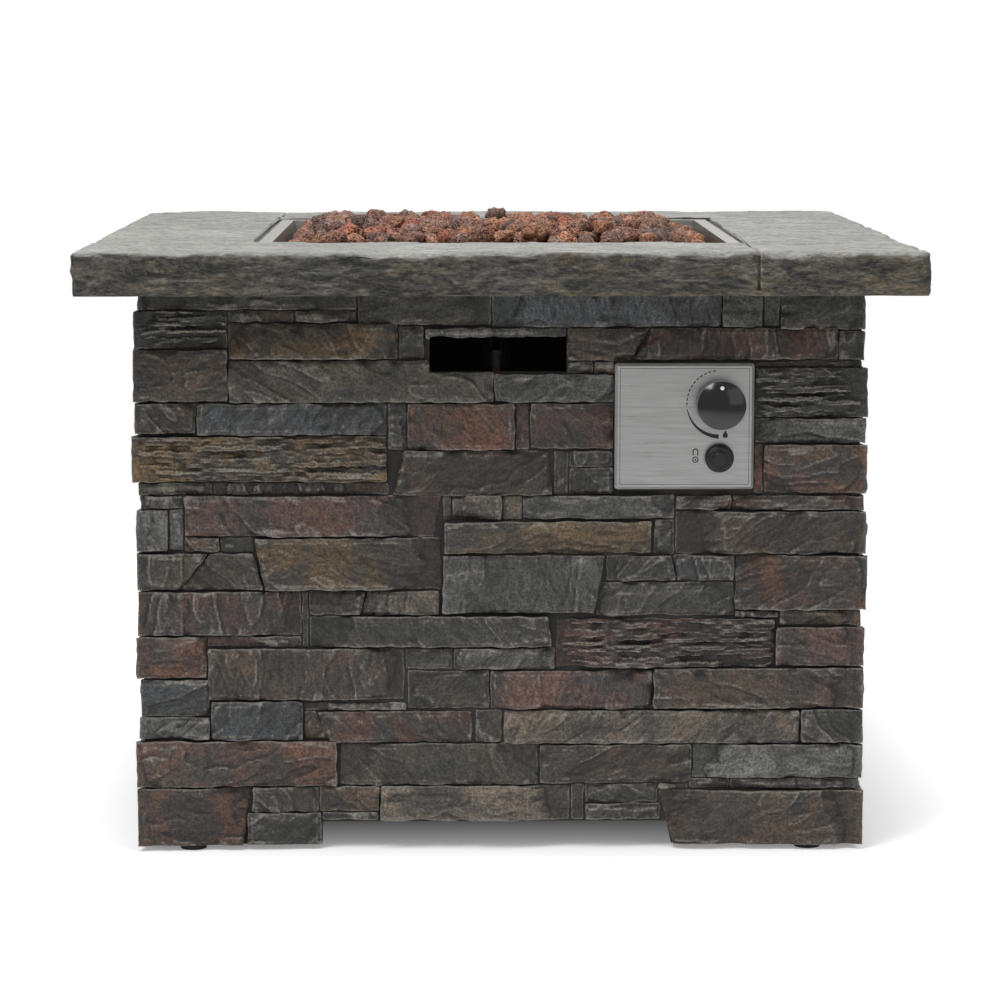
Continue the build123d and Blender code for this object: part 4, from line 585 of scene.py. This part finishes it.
# %% Slab finish
slab_stone, tree, shader, where = start_finish("riven_slate_cast", Roughness=0.7, IOR=1.5)
edge = add(tree, "Attribute", attribute_name="edge").outputs["Fac"]
crest = add(tree, "Attribute", attribute_name="crest").outputs["Fac"]
cloud_size, grain_size, stain_size, fleck_size, flake_size = 90 * mm, 6 * mm, 34 * mm, 1.6 * mm, 38 * mm
clouds = add(tree, "TexNoise", {"Vector": where, "Scale": 1 / cloud_size, "Detail": 7, "Roughness": 0.66})
cloudy = add(tree, "MapRange", {"Value": clouds, "From Min": 0.35, "From Max": 0.65})
top = add(tree, "Mix", {0: cloudy, mix_a: linear("#84847f"), mix_b: linear("#9a9993")}, **blend)
beds = add(tree, "Mapping", {"Vector": where, "Scale": (1, 1, 3)})
stains = add(tree, "TexNoise", {"Vector": beds, "Scale": 1 / stain_size, "Detail": 7, "Roughness": 0.68,
                                "Distortion": 0.6})
stained = add(tree, "MapRange", {"Value": stains, "From Min": 0.4, "From Max": 0.66})
rusty = add(tree, "Mix", {0: cloudy, mix_a: linear("#625f59"), mix_b: linear("#695d45")}, **blend)
sides = add(tree, "Mix", {0: stained, mix_a: linear("#1f1f1e"), mix_b: rusty}, **blend)
both = add(tree, "Mix", {0: edge, mix_a: top, mix_b: sides}, **blend)
laid = add(tree, "Mapping", {"Vector": where, "Scale": (0.3, 0.6, 1)})
grain = add(tree, "TexNoise", {"Vector": laid, "Scale": 1 / grain_size, "Detail": 8, "Roughness": 0.7,
                               "Distortion": 0.5})
depth = add(tree, "MapRange", {"Value": edge, "To Min": 0.58, "To Max": 0.12})
height = add(tree, "MapRange", {"Value": edge, "To Min": 1.5, "To Max": 2.1})
flecks = add(tree, "TexNoise", {"Vector": laid, "Scale": 1 / fleck_size, "Detail": 5, "Roughness": 0.65})
mottle = add(tree, "Mix", {0: 0.5, 2: grain, 3: flecks})
speckle = add(tree, "MapRange", {"Value": mottle, "From Min": 0.38, "From Max": 0.62,
                                 "To Min": depth, "To Max": height})
grained = add(tree, "Mix", {0: 1.0, mix_a: both, mix_b: speckle}, **multiply)
slanted = add(tree, "Mapping", {"Vector": where, "Rotation": (0.45, 0.45, 0), "Scale": (0.45, 0.45, 1.3)})
splits = add(tree, "TexNoise", {"Vector": slanted, "Scale": 1 / flake_size, "Detail": 6, "Roughness": 0.6,
                                "Distortion": 0.5})
flake_levels = 11
levels = add(tree, "Math", {0: splits, 1: flake_levels}, operation="MULTIPLY")
flakes = add(tree, "Math", {0: levels}, operation="FRACT")
# Painted shadow and painted highlight on the flakes: each level ends in a dark line, stronger on the edge than on
# the top, and the next begins pale, only on the edge.
flake_shade_depth = add(tree, "MapRange", {"Value": edge, "To Min": 0.9, "To Max": 0.45})
painted_flake_shade = add(tree, "MapRange", {"Value": flakes, "From Min": 0.78, "From Max": 1.0, "To Min": 1.0,
                                 "To Max": flake_shade_depth})
# Painted shade in hollows and painted highlight on crests, as on the walls, partly as the paint of the finish.
wash_and_painted_shade = add(tree, "MapRange", {"Value": crest, "From Min": 0.2, "From Max": 0.5, "To Min": 0.25, "To Max": 1.0})
darker = add(tree, "Math", {0: wash_and_painted_shade, 1: painted_flake_shade}, operation="MULTIPLY")
washed_and_shaded = add(tree, "Mix", {0: 1.0, mix_a: grained, mix_b: darker}, **multiply)
brush_and_painted_highlight = add(tree, "MapRange", {"Value": crest, "From Min": 0.55, "From Max": 0.9, "To Max": 0.6})
rim = add(tree, "MapRange", {"Value": flakes, "From Max": 0.3, "To Min": 0.13, "To Max": 0.0})
painted_flake_highlight = add(tree, "Math", {0: rim, 1: edge}, operation="MULTIPLY")
paled = add(tree, "Math", {0: brush_and_painted_highlight, 1: painted_flake_highlight}, operation="MAXIMUM")
brushed_and_highlit = add(tree, "Mix", {0: paled, mix_a: washed_and_shaded, mix_b: linear("#a5a29a")}, **blend)
rough = add(tree, "Bump", {"Height": grain, "Strength": 0.75, "Distance": 2.2 * mm})
steep = add(tree, "MapRange", {"Value": edge, "To Min": 0.1, "To Max": 0.6})
flaky = add(tree, "Bump", {"Height": flakes, "Strength": steep, "Distance": 2 * mm, "Normal": rough})
link_finish(tree, shader, Base_Color=brushed_and_highlit, Normal=flaky)
print("finish", slab_stone.name)

# %% [markdown]
# The slab's CAD copy keeps the rebate and the moulded joints. It is cut into a grid, fine on the outer
# edge and coarser on the top, so that its points can be moved. Sculpting by hand would do, but noise
# gives the same slab each run. The points only ever move inwards, because the CAD box is the real size:
# bites out of the edge, a worn upper rim, dips in the top.

# %% Cut the slab into a grid
slab = merged_copy("top_slab")
edge_layer, crest_layer = slab.verts.layers.float.new("edge"), slab.verts.layers.float.new("crest")
slab_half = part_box("top_slab")[1][0] / mm
slab_top, slab_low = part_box("top_slab")[1][2] / mm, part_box("top_slab")[0][2] / mm
pan_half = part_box("burner_pan")[1][0] / mm
top_spacing, edge_spacing, side_depth, rim_strip = 5, 2.5, 4, 2.2


def on_side(face, axis=None):
    """Whether a face is on the outer edge of the slab, and looks along an axis if one is given."""
    outer = all(max(abs(v.co.x), abs(v.co.y)) > slab_half - side_depth for v in face.verts)
    return outer and (axis is None or abs(face.normal[axis]) > 0.5)


along_edge = even_places(-slab_half, slab_half, edge_spacing)
for axis in (0, 1):
    cut_faces(slab, [f for f in slab.faces if on_side(f, 1 - axis)], axis, along_edge)
cut_faces(slab, [f for f in slab.faces if on_side(f)], 2, even_places(slab_low, slab_top, edge_spacing))
across = [rim_strip - slab_half, *even_places(-slab_half, slab_half, top_spacing), slab_half - rim_strip]
for axis in (0, 1):
    cut_faces(slab, [f for f in slab.faces if abs(f.normal.z) > 0.9], axis, across)
print("slab grid", len(slab.verts), "points")

# %% Break the slab's edge
corner_round, edge_round, chip_size, chip_start, chip_split = 13, 9, 22, 0.1, 20
rebate_gap, rebate_drop, rebate_worn, rebate_wander = 5, 4.5, 2, 1.5
tint_start, bite_start, bite_full, tint_drop, fray_depth = 8, 5, 2, 7, 5
top_skin, pan_margin, base_strip = 4, 3, 4


def rounded(a, b, start_a, start_b, radius):
    """Pull a place that lies outside a rounded corner back onto its arc."""
    over_a, over_b = a - start_a, b - start_b
    reach = math.hypot(over_a, over_b)
    if over_a <= 0 or over_b <= 0 or reach <= radius:
        return a, b
    return start_a + over_a * radius / reach, start_b + over_b * radius / reach


def slab_bite(x, y, z):
    """How far the broken edge of the slab lies behind its sharp outline."""
    along = x if abs(y) > abs(x) else y
    lean = along * 0.9 + z * 1.4
    broad = noise.fractal((x * 0.009, y * 0.009, z * 0.035), 1.0, 2.1, 3)
    split = noise.fractal((lean * 0.012, (along - lean) * 0.035, x * 0.002 + y * 0.005), 1.0, 2.1, 3)
    bite = 2.4 + 1.6 * broad + 0.9 * treads(broad * 2, 0.4) + 1.3 * treads(split * 2, 0.35)
    return max(bite + 0.6 * noise.fractal((x * 0.07, y * 0.07, z * 0.16), 0.8, 2.1, 3), 0)


for v in slab.verts:
    x, y, z = v.co
    out = max(abs(x), abs(y))
    fray = fray_depth * noise.fractal((x * 0.03, y * 0.03, z * 0.03), 0.9, 2.1, 3)
    outer = smooth_step(slab_half - tint_start, slab_half - bite_start, out)
    v[edge_layer] = outer * smooth_step(0, tint_drop, slab_top - z + fray)
    chip = noise.noise((x * 0.024, y * 0.024, 5 if z > slab_low + chip_split else 31))
    worn = edge_round + chip_size * max(chip - chip_start, 0)
    if z > slab_top - top_skin and out > pan_half + pan_margin:
        dip = 1.2 + 0.8 * noise.fractal((x * 0.012, y * 0.02, 2), 0.9, 2.1, 4)
        dip += 0.9 * treads(2.4 * noise.fractal((x * 0.011, y * 0.03, 8), 1, 2.1, 4), 0.3)
        z -= max(dip, 0)
    if z > slab_top - rebate_drop and pan_half < out < pan_half + rebate_gap:
        wider = 1 + (rebate_worn + rebate_wander * noise.noise((x * 0.03, y * 0.03, 1))) / out
        x, y = x * wider, y * wider
    if out > slab_half - bite_start:
        share = smooth_step(slab_half - bite_start, slab_half - bite_full, out)
        reach = slab_half - slab_bite(x, y, z) * share
        x, y = min(max(x, -reach), reach), min(max(y, -reach), reach)
    side_x, z = rounded(abs(x), z, slab_half - worn, slab_top - worn, worn)
    side_y, z = rounded(abs(y), z, slab_half - worn, slab_top - worn, worn)
    side_x, low = rounded(side_x, -z, slab_half - worn / 2, -slab_low - worn / 2, worn / 2)
    side_y, low = rounded(side_y, low, slab_half - worn / 2, -slab_low - worn / 2, worn / 2)
    side_x, side_y = rounded(side_x, side_y, slab_half - corner_round, slab_half - corner_round, corner_round)
    v.co = (math.copysign(side_x, x), math.copysign(side_y, y), -low)
bmesh.ops.dissolve_degenerate(slab, dist=0.01, edges=slab.edges[:])
slab.normal_update()
# How far each point stands out, which the finish turns into painted shade and painted highlight; the strip along
# the bottom gets no painted highlight.
for v in slab.verts:
    stands = sum((v.co - e.other_vert(v).co).dot(v.normal) for e in v.link_edges) / len(v.link_edges)
    palest = 1 if v.co.z > slab_low + base_strip else crest_flat
    v[crest_layer] = min(max(crest_flat + stands / edge_spacing, 0), palest)
add_piece("slab_riven", slab, slab_stone, main_body, ("top_slab",))

# %% [markdown]
# Lava rock is a froth of glass and iron that set hard: lumpy, full of holes, brick red to brown. Each
# rock carries its own colour as an attribute. The crust is a rough noise, and the pores come from a
# Voronoi pattern, because its cells are round holes of about one size. The middle of each pore is
# darkened as painted shade in the hole.

# %% Lava rock finish
lava, tree, shader, where = start_finish("red_lava_rock", Roughness=0.92, IOR=1.5)
hue = add(tree, "Attribute", attribute_name="tint").outputs["Color"]
pore_size, crust_size = 2.8 * mm, 7 * mm
pores = add(tree, "TexVoronoi", {"Vector": where, "Scale": 1 / pore_size, "Randomness": 1.0})
holes = add(tree, "MapRange", {"Value": pores, "From Min": 0.1, "From Max": 0.5})
crust = add(tree, "TexNoise", {"Vector": where, "Scale": 1 / crust_size, "Detail": 8, "Roughness": 0.72})
crusty = add(tree, "MapRange", {"Value": crust, "From Min": 0.3, "From Max": 0.7,
                                "To Min": 0.42, "To Max": 1.8})
shaded = add(tree, "Mix", {0: 1.0, mix_a: hue, mix_b: crusty}, **multiply)
# Painted shade: the middle of each pore is darkened as shade in the hole.
painted_pore_shade = add(tree, "MapRange", {"Value": holes, "To Min": 0.45, "To Max": 1.05})
rocky = add(tree, "Mix", {0: 1.0, mix_a: shaded, mix_b: painted_pore_shade}, **multiply)
depth = add(tree, "Math", {0: holes, 1: crust}, operation="ADD")
porous = add(tree, "Bump", {"Height": depth, "Strength": 1.0, "Distance": 2.4 * mm})
link_finish(tree, shader, Base_Color=rocky, Normal=porous)
print("finish", lava.name)

# %% [markdown]
# Every CAD rock is one closed chunk, so the copy is walked chunk by chunk, and each gives the place and
# size of one rock with three smaller ones around it, as rocks of mixed sizes lie in a heap. Copies of
# one rock would show, so each is made on its own. It starts as an icosphere, whose points are spread
# evenly, is flattened against a few chance planes as broken rock is, and is pushed in and out by noise.

# %% One lava rock
lava_tints = ["#8a6556", "#7d5d51", "#84604f", "#745a51", "#906852", "#7d645b", "#6a5550", "#97694f", "#8e5a48"]
rock_top, rock_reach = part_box("lava_rocks")[1][2] / mm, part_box("lava_rocks")[1][0] / mm + 3
rock_cuts, rock_limit, rock_swell = 6, 1.05, 1.1


def rock_chunks(node):
    """Middle and half size of each closed chunk of a CAD node."""
    copy = merged_copy(node)
    left, chunks = set(copy.verts), []
    while left:
        found, front = set(), [left.pop()]
        while front:
            v = front.pop()
            found.add(v)
            near = [e.other_vert(v) for e in v.link_edges if e.other_vert(v) in left]
            left.difference_update(near)
            front += near
        low = Vector([min(v.co[k] for v in found) for k in range(3)])
        high = Vector([max(v.co[k] for v in found) for k in range(3)])
        chunks.append(((low + high) / 2, (high - low) / 2))
    copy.free()
    return sorted(chunks, key=lambda chunk: tuple(chunk[0]))


def add_rock(rocks, layer, middle, half, detail, draw):
    """One rock in a shared bmesh, moved in from the walls of the pan where it would stand past them."""
    inside = [min(max(middle[k], half[k] - rock_reach), rock_reach - half[k]) for k in range(2)]
    middle = Vector((*inside, middle.z))
    made = bmesh.ops.create_icosphere(rocks, subdivisions=detail, radius=1)["verts"]
    seed = draw.uniform(0, 900)
    cuts = [(Vector([draw.gauss(0, 1) for _ in range(3)]).normalized(), draw.uniform(0.55, 0.85))
            for _ in range(rock_cuts)]
    turn = Matrix.Rotation(draw.uniform(0, 6.28), 3, "Z") @ Matrix.Rotation(draw.uniform(-0.6, 0.6), 3, "X")
    shade = draw.uniform(0.9, 1.5)
    colour = [c * shade for c in linear(draw.choice(lava_tints))[:3]] + [1]
    for v in made:
        out = v.co.normalized()
        size = min(1 + 0.35 * noise.noise(out * 1.3 + Vector((seed, 0, 0))), rock_limit)
        for way, reach in cuts:
            lean = out.dot(way)
            if lean > 0.05:
                size = min(size, reach / lean)
        size += (0.2 * abs(noise.noise(out * 2.6 + Vector((0, seed, 0))))
                 + 0.16 * noise.noise(out * 5 + Vector((seed, 0, 5))))
        size += 0.09 * noise.noise(out * 9 + Vector((0, 0, seed)))
        size += 0.04 * (detail - 2) * noise.noise(out * 19 + Vector((seed, seed, 0)))
        place = turn @ (out * size)
        v.co = middle + Vector([place[k] * half[k] * rock_swell for k in range(3)])
        v.co = Vector([min(max(v.co.x, -rock_reach), rock_reach), min(max(v.co.y, -rock_reach), rock_reach),
                       min(v.co.z, rock_top)])
        v[layer] = colour


chunks = rock_chunks("lava_rocks")
print("CAD rocks", len(chunks))

# %% [markdown]
# The rocks that show most get the most faces, so the heap is kept as three pieces: top, middle and
# bottom. A few small rocks run out from the ends of the top layer to the walls of the pan.

# %% Heap the rocks
low_level, high_level = min(m.z for m, _ in chunks), max(m.z for m, _ in chunks)
draw = random.Random(7)
level_margin, end_margin = 5, 5
top_reach = max(m.x for m, _ in chunks if m.z > high_level - level_margin) - end_margin
rock_names = {4: "lava_rocks_top", 3: "lava_rocks_middle", 2: "lava_rocks_bottom"}
rock_layers = {detail: bmesh.new() for detail in rock_names}
for middle, half in chunks:
    detail = 2 + round(2 * (middle.z - low_level) / (high_level - low_level))
    rocks = rock_layers[detail]
    layer = rocks.verts.layers.float_color.get("tint") or rocks.verts.layers.float_color.new("tint")
    shift = Vector((draw.uniform(-6, 6), draw.uniform(-9, 9), draw.uniform(-2, 3)))
    add_rock(rocks, layer, middle + shift, half * draw.uniform(0.58, 0.84), detail, draw)
    first = draw.uniform(0, 2 * math.pi)
    for turn in range(3):
        angle = first + turn * 2 * math.pi / 3 + draw.uniform(-0.4, 0.4)
        shift = Vector((math.cos(angle) * half.x, math.sin(angle) * half.y, draw.uniform(-0.1, 0.65) * half.z))
        add_rock(rocks, layer, middle + shift * draw.uniform(0.85, 1.15), half * draw.uniform(0.42, 0.62),
                 max(detail - 1, 2), draw)
    if detail == 4 and abs(middle.x) > top_reach:
        for step, drop in ((38, 4), (57, 8)):
            shift = Vector((math.copysign(step, middle.x), draw.uniform(-12, 12), draw.uniform(-2, 3) - drop))
            add_rock(rocks, layer, middle + shift, half * draw.uniform(0.5, 0.62), 3, draw)
for detail, name in rock_names.items():
    replaced = ("lava_rocks",) if detail == 4 else ()
    add_piece(name, rock_layers[detail], lava, main_body, replaced)

# %% [markdown]
# The panel carries printed marks: a dashed arc from off to low, a swelling arc from low to high, a
# flame and a cell. Ink has almost no thickness, but a mark painted in a finish would blur, so each is a
# thin flat shape, extruded from its outline and laid on the panel's face. The left of the panel is bare.

# %% Shapes for the marks
ink = simple_finish("black_screen_ink", "#101011", "#1c1c1d", 2 * mm, bump=0.02, Roughness=0.5, IOR=1.5)
white_paint = simple_finish("white_paint", "#dededb", "#f2f2ef", 2 * mm, bump=0.05, Roughness=0.4, IOR=1.5)
ink_thickness = 0.08


def box_middle(node):
    """The middle of a CAD node's box and its front, in millimetres."""
    low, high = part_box(node)
    return (low[0] + high[0]) / 2 / mm, (low[2] + high[2]) / 2 / mm, low[1] / mm


def raise_shape(maker, outline, face_y, thickness):
    """A flat outline on a vertical face, raised towards the viewer."""
    face = maker.faces.new([maker.verts.new((x, face_y, z)) for x, z in outline])
    made = bmesh.ops.extrude_face_region(maker, geom=[face])["geom"]
    bmesh.ops.translate(maker, verts=[g for g in made if isinstance(g, bmesh.types.BMVert)], vec=(0, -thickness, 0))


def arc_outline(middle, radius, start, end, wide_start, wide_end, steps):
    """The outline of an arc whose width changes from its start to its end, in degrees and millimetres."""
    outer, inner = [], []
    for k in range(steps + 1):
        share = k / steps
        angle = math.radians(start + (end - start) * share)
        half = (wide_start + (wide_end - wide_start) * share) / 2
        for side, reach in ((outer, radius + half), (inner, radius - half)):
            side.append((middle[0] + reach * math.cos(angle), middle[1] + reach * math.sin(angle)))
    return outer + inner[::-1]


print("ink", ink_thickness, "mm")

# %% Marks on the panel
knob_x, knob_z, knob_front = box_middle("knob")
panel_low, panel_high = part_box("control_panel")
panel_face = panel_low[1] / mm
knob_radius = (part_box("knob")[1][0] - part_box("knob")[0][0]) / 2 / mm
arc_radius = knob_radius + 8.5
knob_middle, dash_turn, dash_width, swell_widths = (knob_x, knob_z), 5, 1.1, (0.7, 4.2)
shapes = [arc_outline(knob_middle, arc_radius, angle, angle + dash_turn, dash_width, dash_width, 4)
          for angle in range(98, 184, 8)]
shapes.append(arc_outline(knob_middle, arc_radius, 190, 268, *swell_widths, 30))
flame = [(0, -3.6), (2, -2.8), (2.7, -0.8), (2, 1), (1.3, 1.8), (1.1, 4.2), (-0.6, 2.8), (-1.6, 1), (-2.4, -0.5),
         (-1.9, -2.6)]
shapes.append([(knob_x + 5 + x, knob_z - arc_radius + 2 + z) for x, z in flame])
cell_x, cell_z, cell_line = knob_x - knob_radius, box_middle("igniter_cap")[1] + 4, 1.1
shapes.append(arc_outline((cell_x, cell_z + 2), 2.2, 0, 180, cell_line, cell_line, 16))
for side in (-2.75, 1.65):
    start, end = cell_x + side, cell_x + side + cell_line
    shapes.append([(start, cell_z - 2), (end, cell_z - 2), (end, cell_z + 2), (start, cell_z + 2)])
cell_end = (cell_x, cell_z - 6)
shapes += [arc_outline(cell_end, 2.5, start, start + 180, 1.0, 1.0, 16) for start in (0, 180)]
shapes.append(arc_outline(cell_end, 0.5, 0, 350, 0.9, 0.9, 16))
marks = bmesh.new()
for shape in shapes:
    raise_shape(marks, shape, panel_face, ink_thickness)
bmesh.ops.recalc_face_normals(marks, faces=marks.faces[:])
add_piece("panel_marks", marks, ink, main_body, smooth=False)

# %% [markdown]
# A fine dark line runs round the panel, a little in from its bevel: painted shade, in steel darkened as
# in shadow. Four thin bars that meet end to end make it, so no two of them overlap.

# %% Line round the panel
line_inset, line_width = 4.6, 0.45
left, right = panel_low[0] / mm + line_inset, panel_high[0] / mm - line_inset
below, above = panel_low[2] / mm + line_inset, panel_high[2] / mm - line_inset
line = bmesh.new()
for x0, z0, x1, z1 in ((left, below, right, below + line_width), (left, above - line_width, right, above),
                       (left, below + line_width, left + line_width, above - line_width),
                       (right - line_width, below + line_width, right, above - line_width)):
    raise_shape(line, [(x0, z0), (x1, z0), (x1, z1), (x0, z1)], panel_face, ink_thickness)
bmesh.ops.recalc_face_normals(line, faces=line.faces[:])
# Painted shade: the line is steel darkened as in shadow.
painted_line_shade = simple_finish("shadowed_steel_line", "#4a4b4b", "#5f6060", 3 * mm, Metallic=1.0, Roughness=0.4)
add_piece("panel_line", line, painted_line_shade, main_body, smooth=False)

# %% [markdown]
# The knob has a white dot for a pointer, sunk into the dome of its face. The igniter's cap and button
# are ringed with fine ridges for grip: a low round profile, spun about the axis. Each rides on
# the body that it belongs to, so it moves with it.

# %% Dot and ridges
dot = bmesh.new()
dot_radius, dot_out, dot_flat, dot_sink, dome = 1.9, 17, 0.3, 0.2, 7
dot_y = knob_front + dome - dome * math.sqrt(1 - (dot_out / knob_radius) ** 2)
made = bmesh.ops.create_uvsphere(dot, u_segments=24, v_segments=8, radius=dot_radius)["verts"]
bmesh.ops.scale(dot, vec=(1, dot_flat, 1), verts=made)
bmesh.ops.translate(dot, verts=made, vec=(knob_x, dot_y + dot_sink, knob_z + dot_out))
bmesh.ops.recalc_face_normals(dot, faces=dot.faces[:])
add_piece("knob_dot", dot, white_paint, "knob", smooth=False)


def ridge_rings(name, node, radii, body):
    """Low round ridges on the front of a turned part."""
    middle_x, middle_z, front = box_middle(node)
    rings = bmesh.new()
    wide, tall, sink = 0.5, 0.35, 0.05
    for radius in radii:
        profile = [rings.verts.new((middle_x + radius + wide * x, front + sink - tall * y, middle_z))
                   for x, y in ((-1, 0), (-0.6, 0.8), (0, 1), (0.6, 0.8), (1, 0))]
        edges = [rings.edges.new(pair) for pair in zip(profile, profile[1:] + profile[:1])]
        bmesh.ops.spin(rings, geom=profile + edges, cent=(middle_x, 0, middle_z), axis=(0, 1, 0),
                       angle=2 * math.pi, steps=72, use_merge=True)
    bmesh.ops.remove_doubles(rings, verts=rings.verts[:], dist=0.001)
    bmesh.ops.recalc_face_normals(rings, faces=rings.faces[:])
    add_piece(name, rings, finishes["igniter_plastic"], body)


ridge_rings("igniter_cap_ridges", "igniter_cap", (8.6, 10.2), "igniter_cap")
ridge_rings("igniter_button_ridges", "igniter_button", (2.4, 4.4), "igniter_button")

# %% [markdown]
# The camera stands well back with a long lens, a little left of the middle, and looks slightly down.
# Its place and lens were fitted to the corners of the slab and the walls. Four soft lamps light the
# object from the left, the right, above and behind.

# %% Camera and lamps
camera_place, camera_dip, camera_turn, camera_lens = (-0.0408, -3.3831, 0.7577), 7.818, -0.755, 116.12
camera = bpy.data.objects.new("camera", bpy.data.cameras.new("camera"))
camera.location = camera_place
camera.rotation_euler = (math.radians(90 - camera_dip), 0, math.radians(camera_turn))
camera.data.lens = camera_lens
camera.data.sensor_width = 36
camera.data.clip_end = 100
scene.collection.objects.link(camera)
scene.camera = camera
scene.view_settings.view_transform = "Standard"

lamps = {
    "key": ((-1.5, -2.0, 3.3), 1.5, 62), "fill": ((2.4, -2.6, 1.5), 2.4, 12), "top": ((0.1, -0.4, 3.4), 2.4, 55),
    "back": ((0.5, 3.0, 2.4), 2.4, 30),
}
lamp_aim = Vector((0, 0, 0.4))
for name, (place, size, power) in lamps.items():
    lamp = bpy.data.objects.new(name, bpy.data.lights.new(name, "AREA"))
    lamp.data.size, lamp.data.energy = size, power
    lamp.location = place
    lamp.rotation_euler = (lamp_aim - Vector(place)).to_track_quat("-Z", "Y").to_euler()
    scene.collection.objects.link(lamp)
print("lamps", len(lamps))

# %% [markdown]
# The world is a pale tent: soft light for the stone, a little more for shiny pieces to mirror, and plain
# white to the camera, as in a catalogue picture. The floor is white paper that fades out, so that only
# the object's shadow shows on it. Its emission is weak under and near the object, which adds painted
# shade there.

# %% World and floor
world = bpy.data.worlds.new("studio")
scene.world = world
world.use_nodes = True
tree = world.node_tree
tree.nodes.clear()
path = add(tree, "LightPath")
soft_light, tent_light = 0.3, 0.46
soft = add(tree, "Background", {"Color": (0.95, 0.97, 1, 1), "Strength": soft_light})
tent = add(tree, "Background", {"Color": (1, 0.99, 0.97, 1), "Strength": tent_light})
white = add(tree, "Background", {"Color": (1, 1, 1, 1), "Strength": 1.0})
shiny = add(tree, "MixShader", {0: path.outputs["Is Glossy Ray"], 1: soft, 2: tent})
studio = add(tree, "MixShader", {0: path.outputs["Is Camera Ray"], 1: shiny, 2: white})
add(tree, "OutputWorld", {"Surface": studio})

floor_size, fade_start, fade_end = 2.2, 0.75, 1.9
floor_maker = bmesh.new()
bmesh.ops.create_grid(floor_maker, x_segments=1, y_segments=1, size=floor_size)
floor_mesh = bpy.data.meshes.new("floor")
floor_maker.to_mesh(floor_mesh)
floor_maker.free()
floor = bpy.data.objects.new("floor", floor_mesh)
scene.collection.objects.link(floor)
white_paper, tree, shader, where = start_finish("white_paper", Roughness=0.9)
shader.inputs["Base Color"].default_value = linear("#f6f6f6")
shader.inputs["Emission Color"].default_value = (1, 1, 1, 1)
apart = add(tree, "SeparateXYZ", {0: where})
sides = [add(tree, "Math", {0: apart.outputs[k]}, operation="ABSOLUTE").outputs[0] for k in (0, 1)]
beside = add(tree, "Math", {0: sides[0], 1: sides[1]}, operation="MAXIMUM")
# Painted shadow: the floor's emission is weak under and near the object and rises away from it.
glow_with_painted_shadow = add(tree, "MapRange", {"Value": beside, "From Min": 0.2, "From Max": 0.5, "To Min": 0.02,
                              "To Max": 0.55})
link_finish(tree, shader, Emission_Strength=glow_with_painted_shadow)
away = add(tree, "VectorMath", {0: where}, operation="LENGTH")
faded = add(tree, "MapRange", {"Value": away.outputs["Value"], "From Min": fade_start, "From Max": fade_end})
clear = add(tree, "BsdfTransparent")
paper = add(tree, "MixShader", {0: faded, 1: shader, 2: clear})
output = next(node for node in tree.nodes if node.type == "OUTPUT_MATERIAL")
tree.links.new(main_output(paper), output.inputs["Surface"])
floor_mesh.materials.append(white_paper)
print("stage ready")
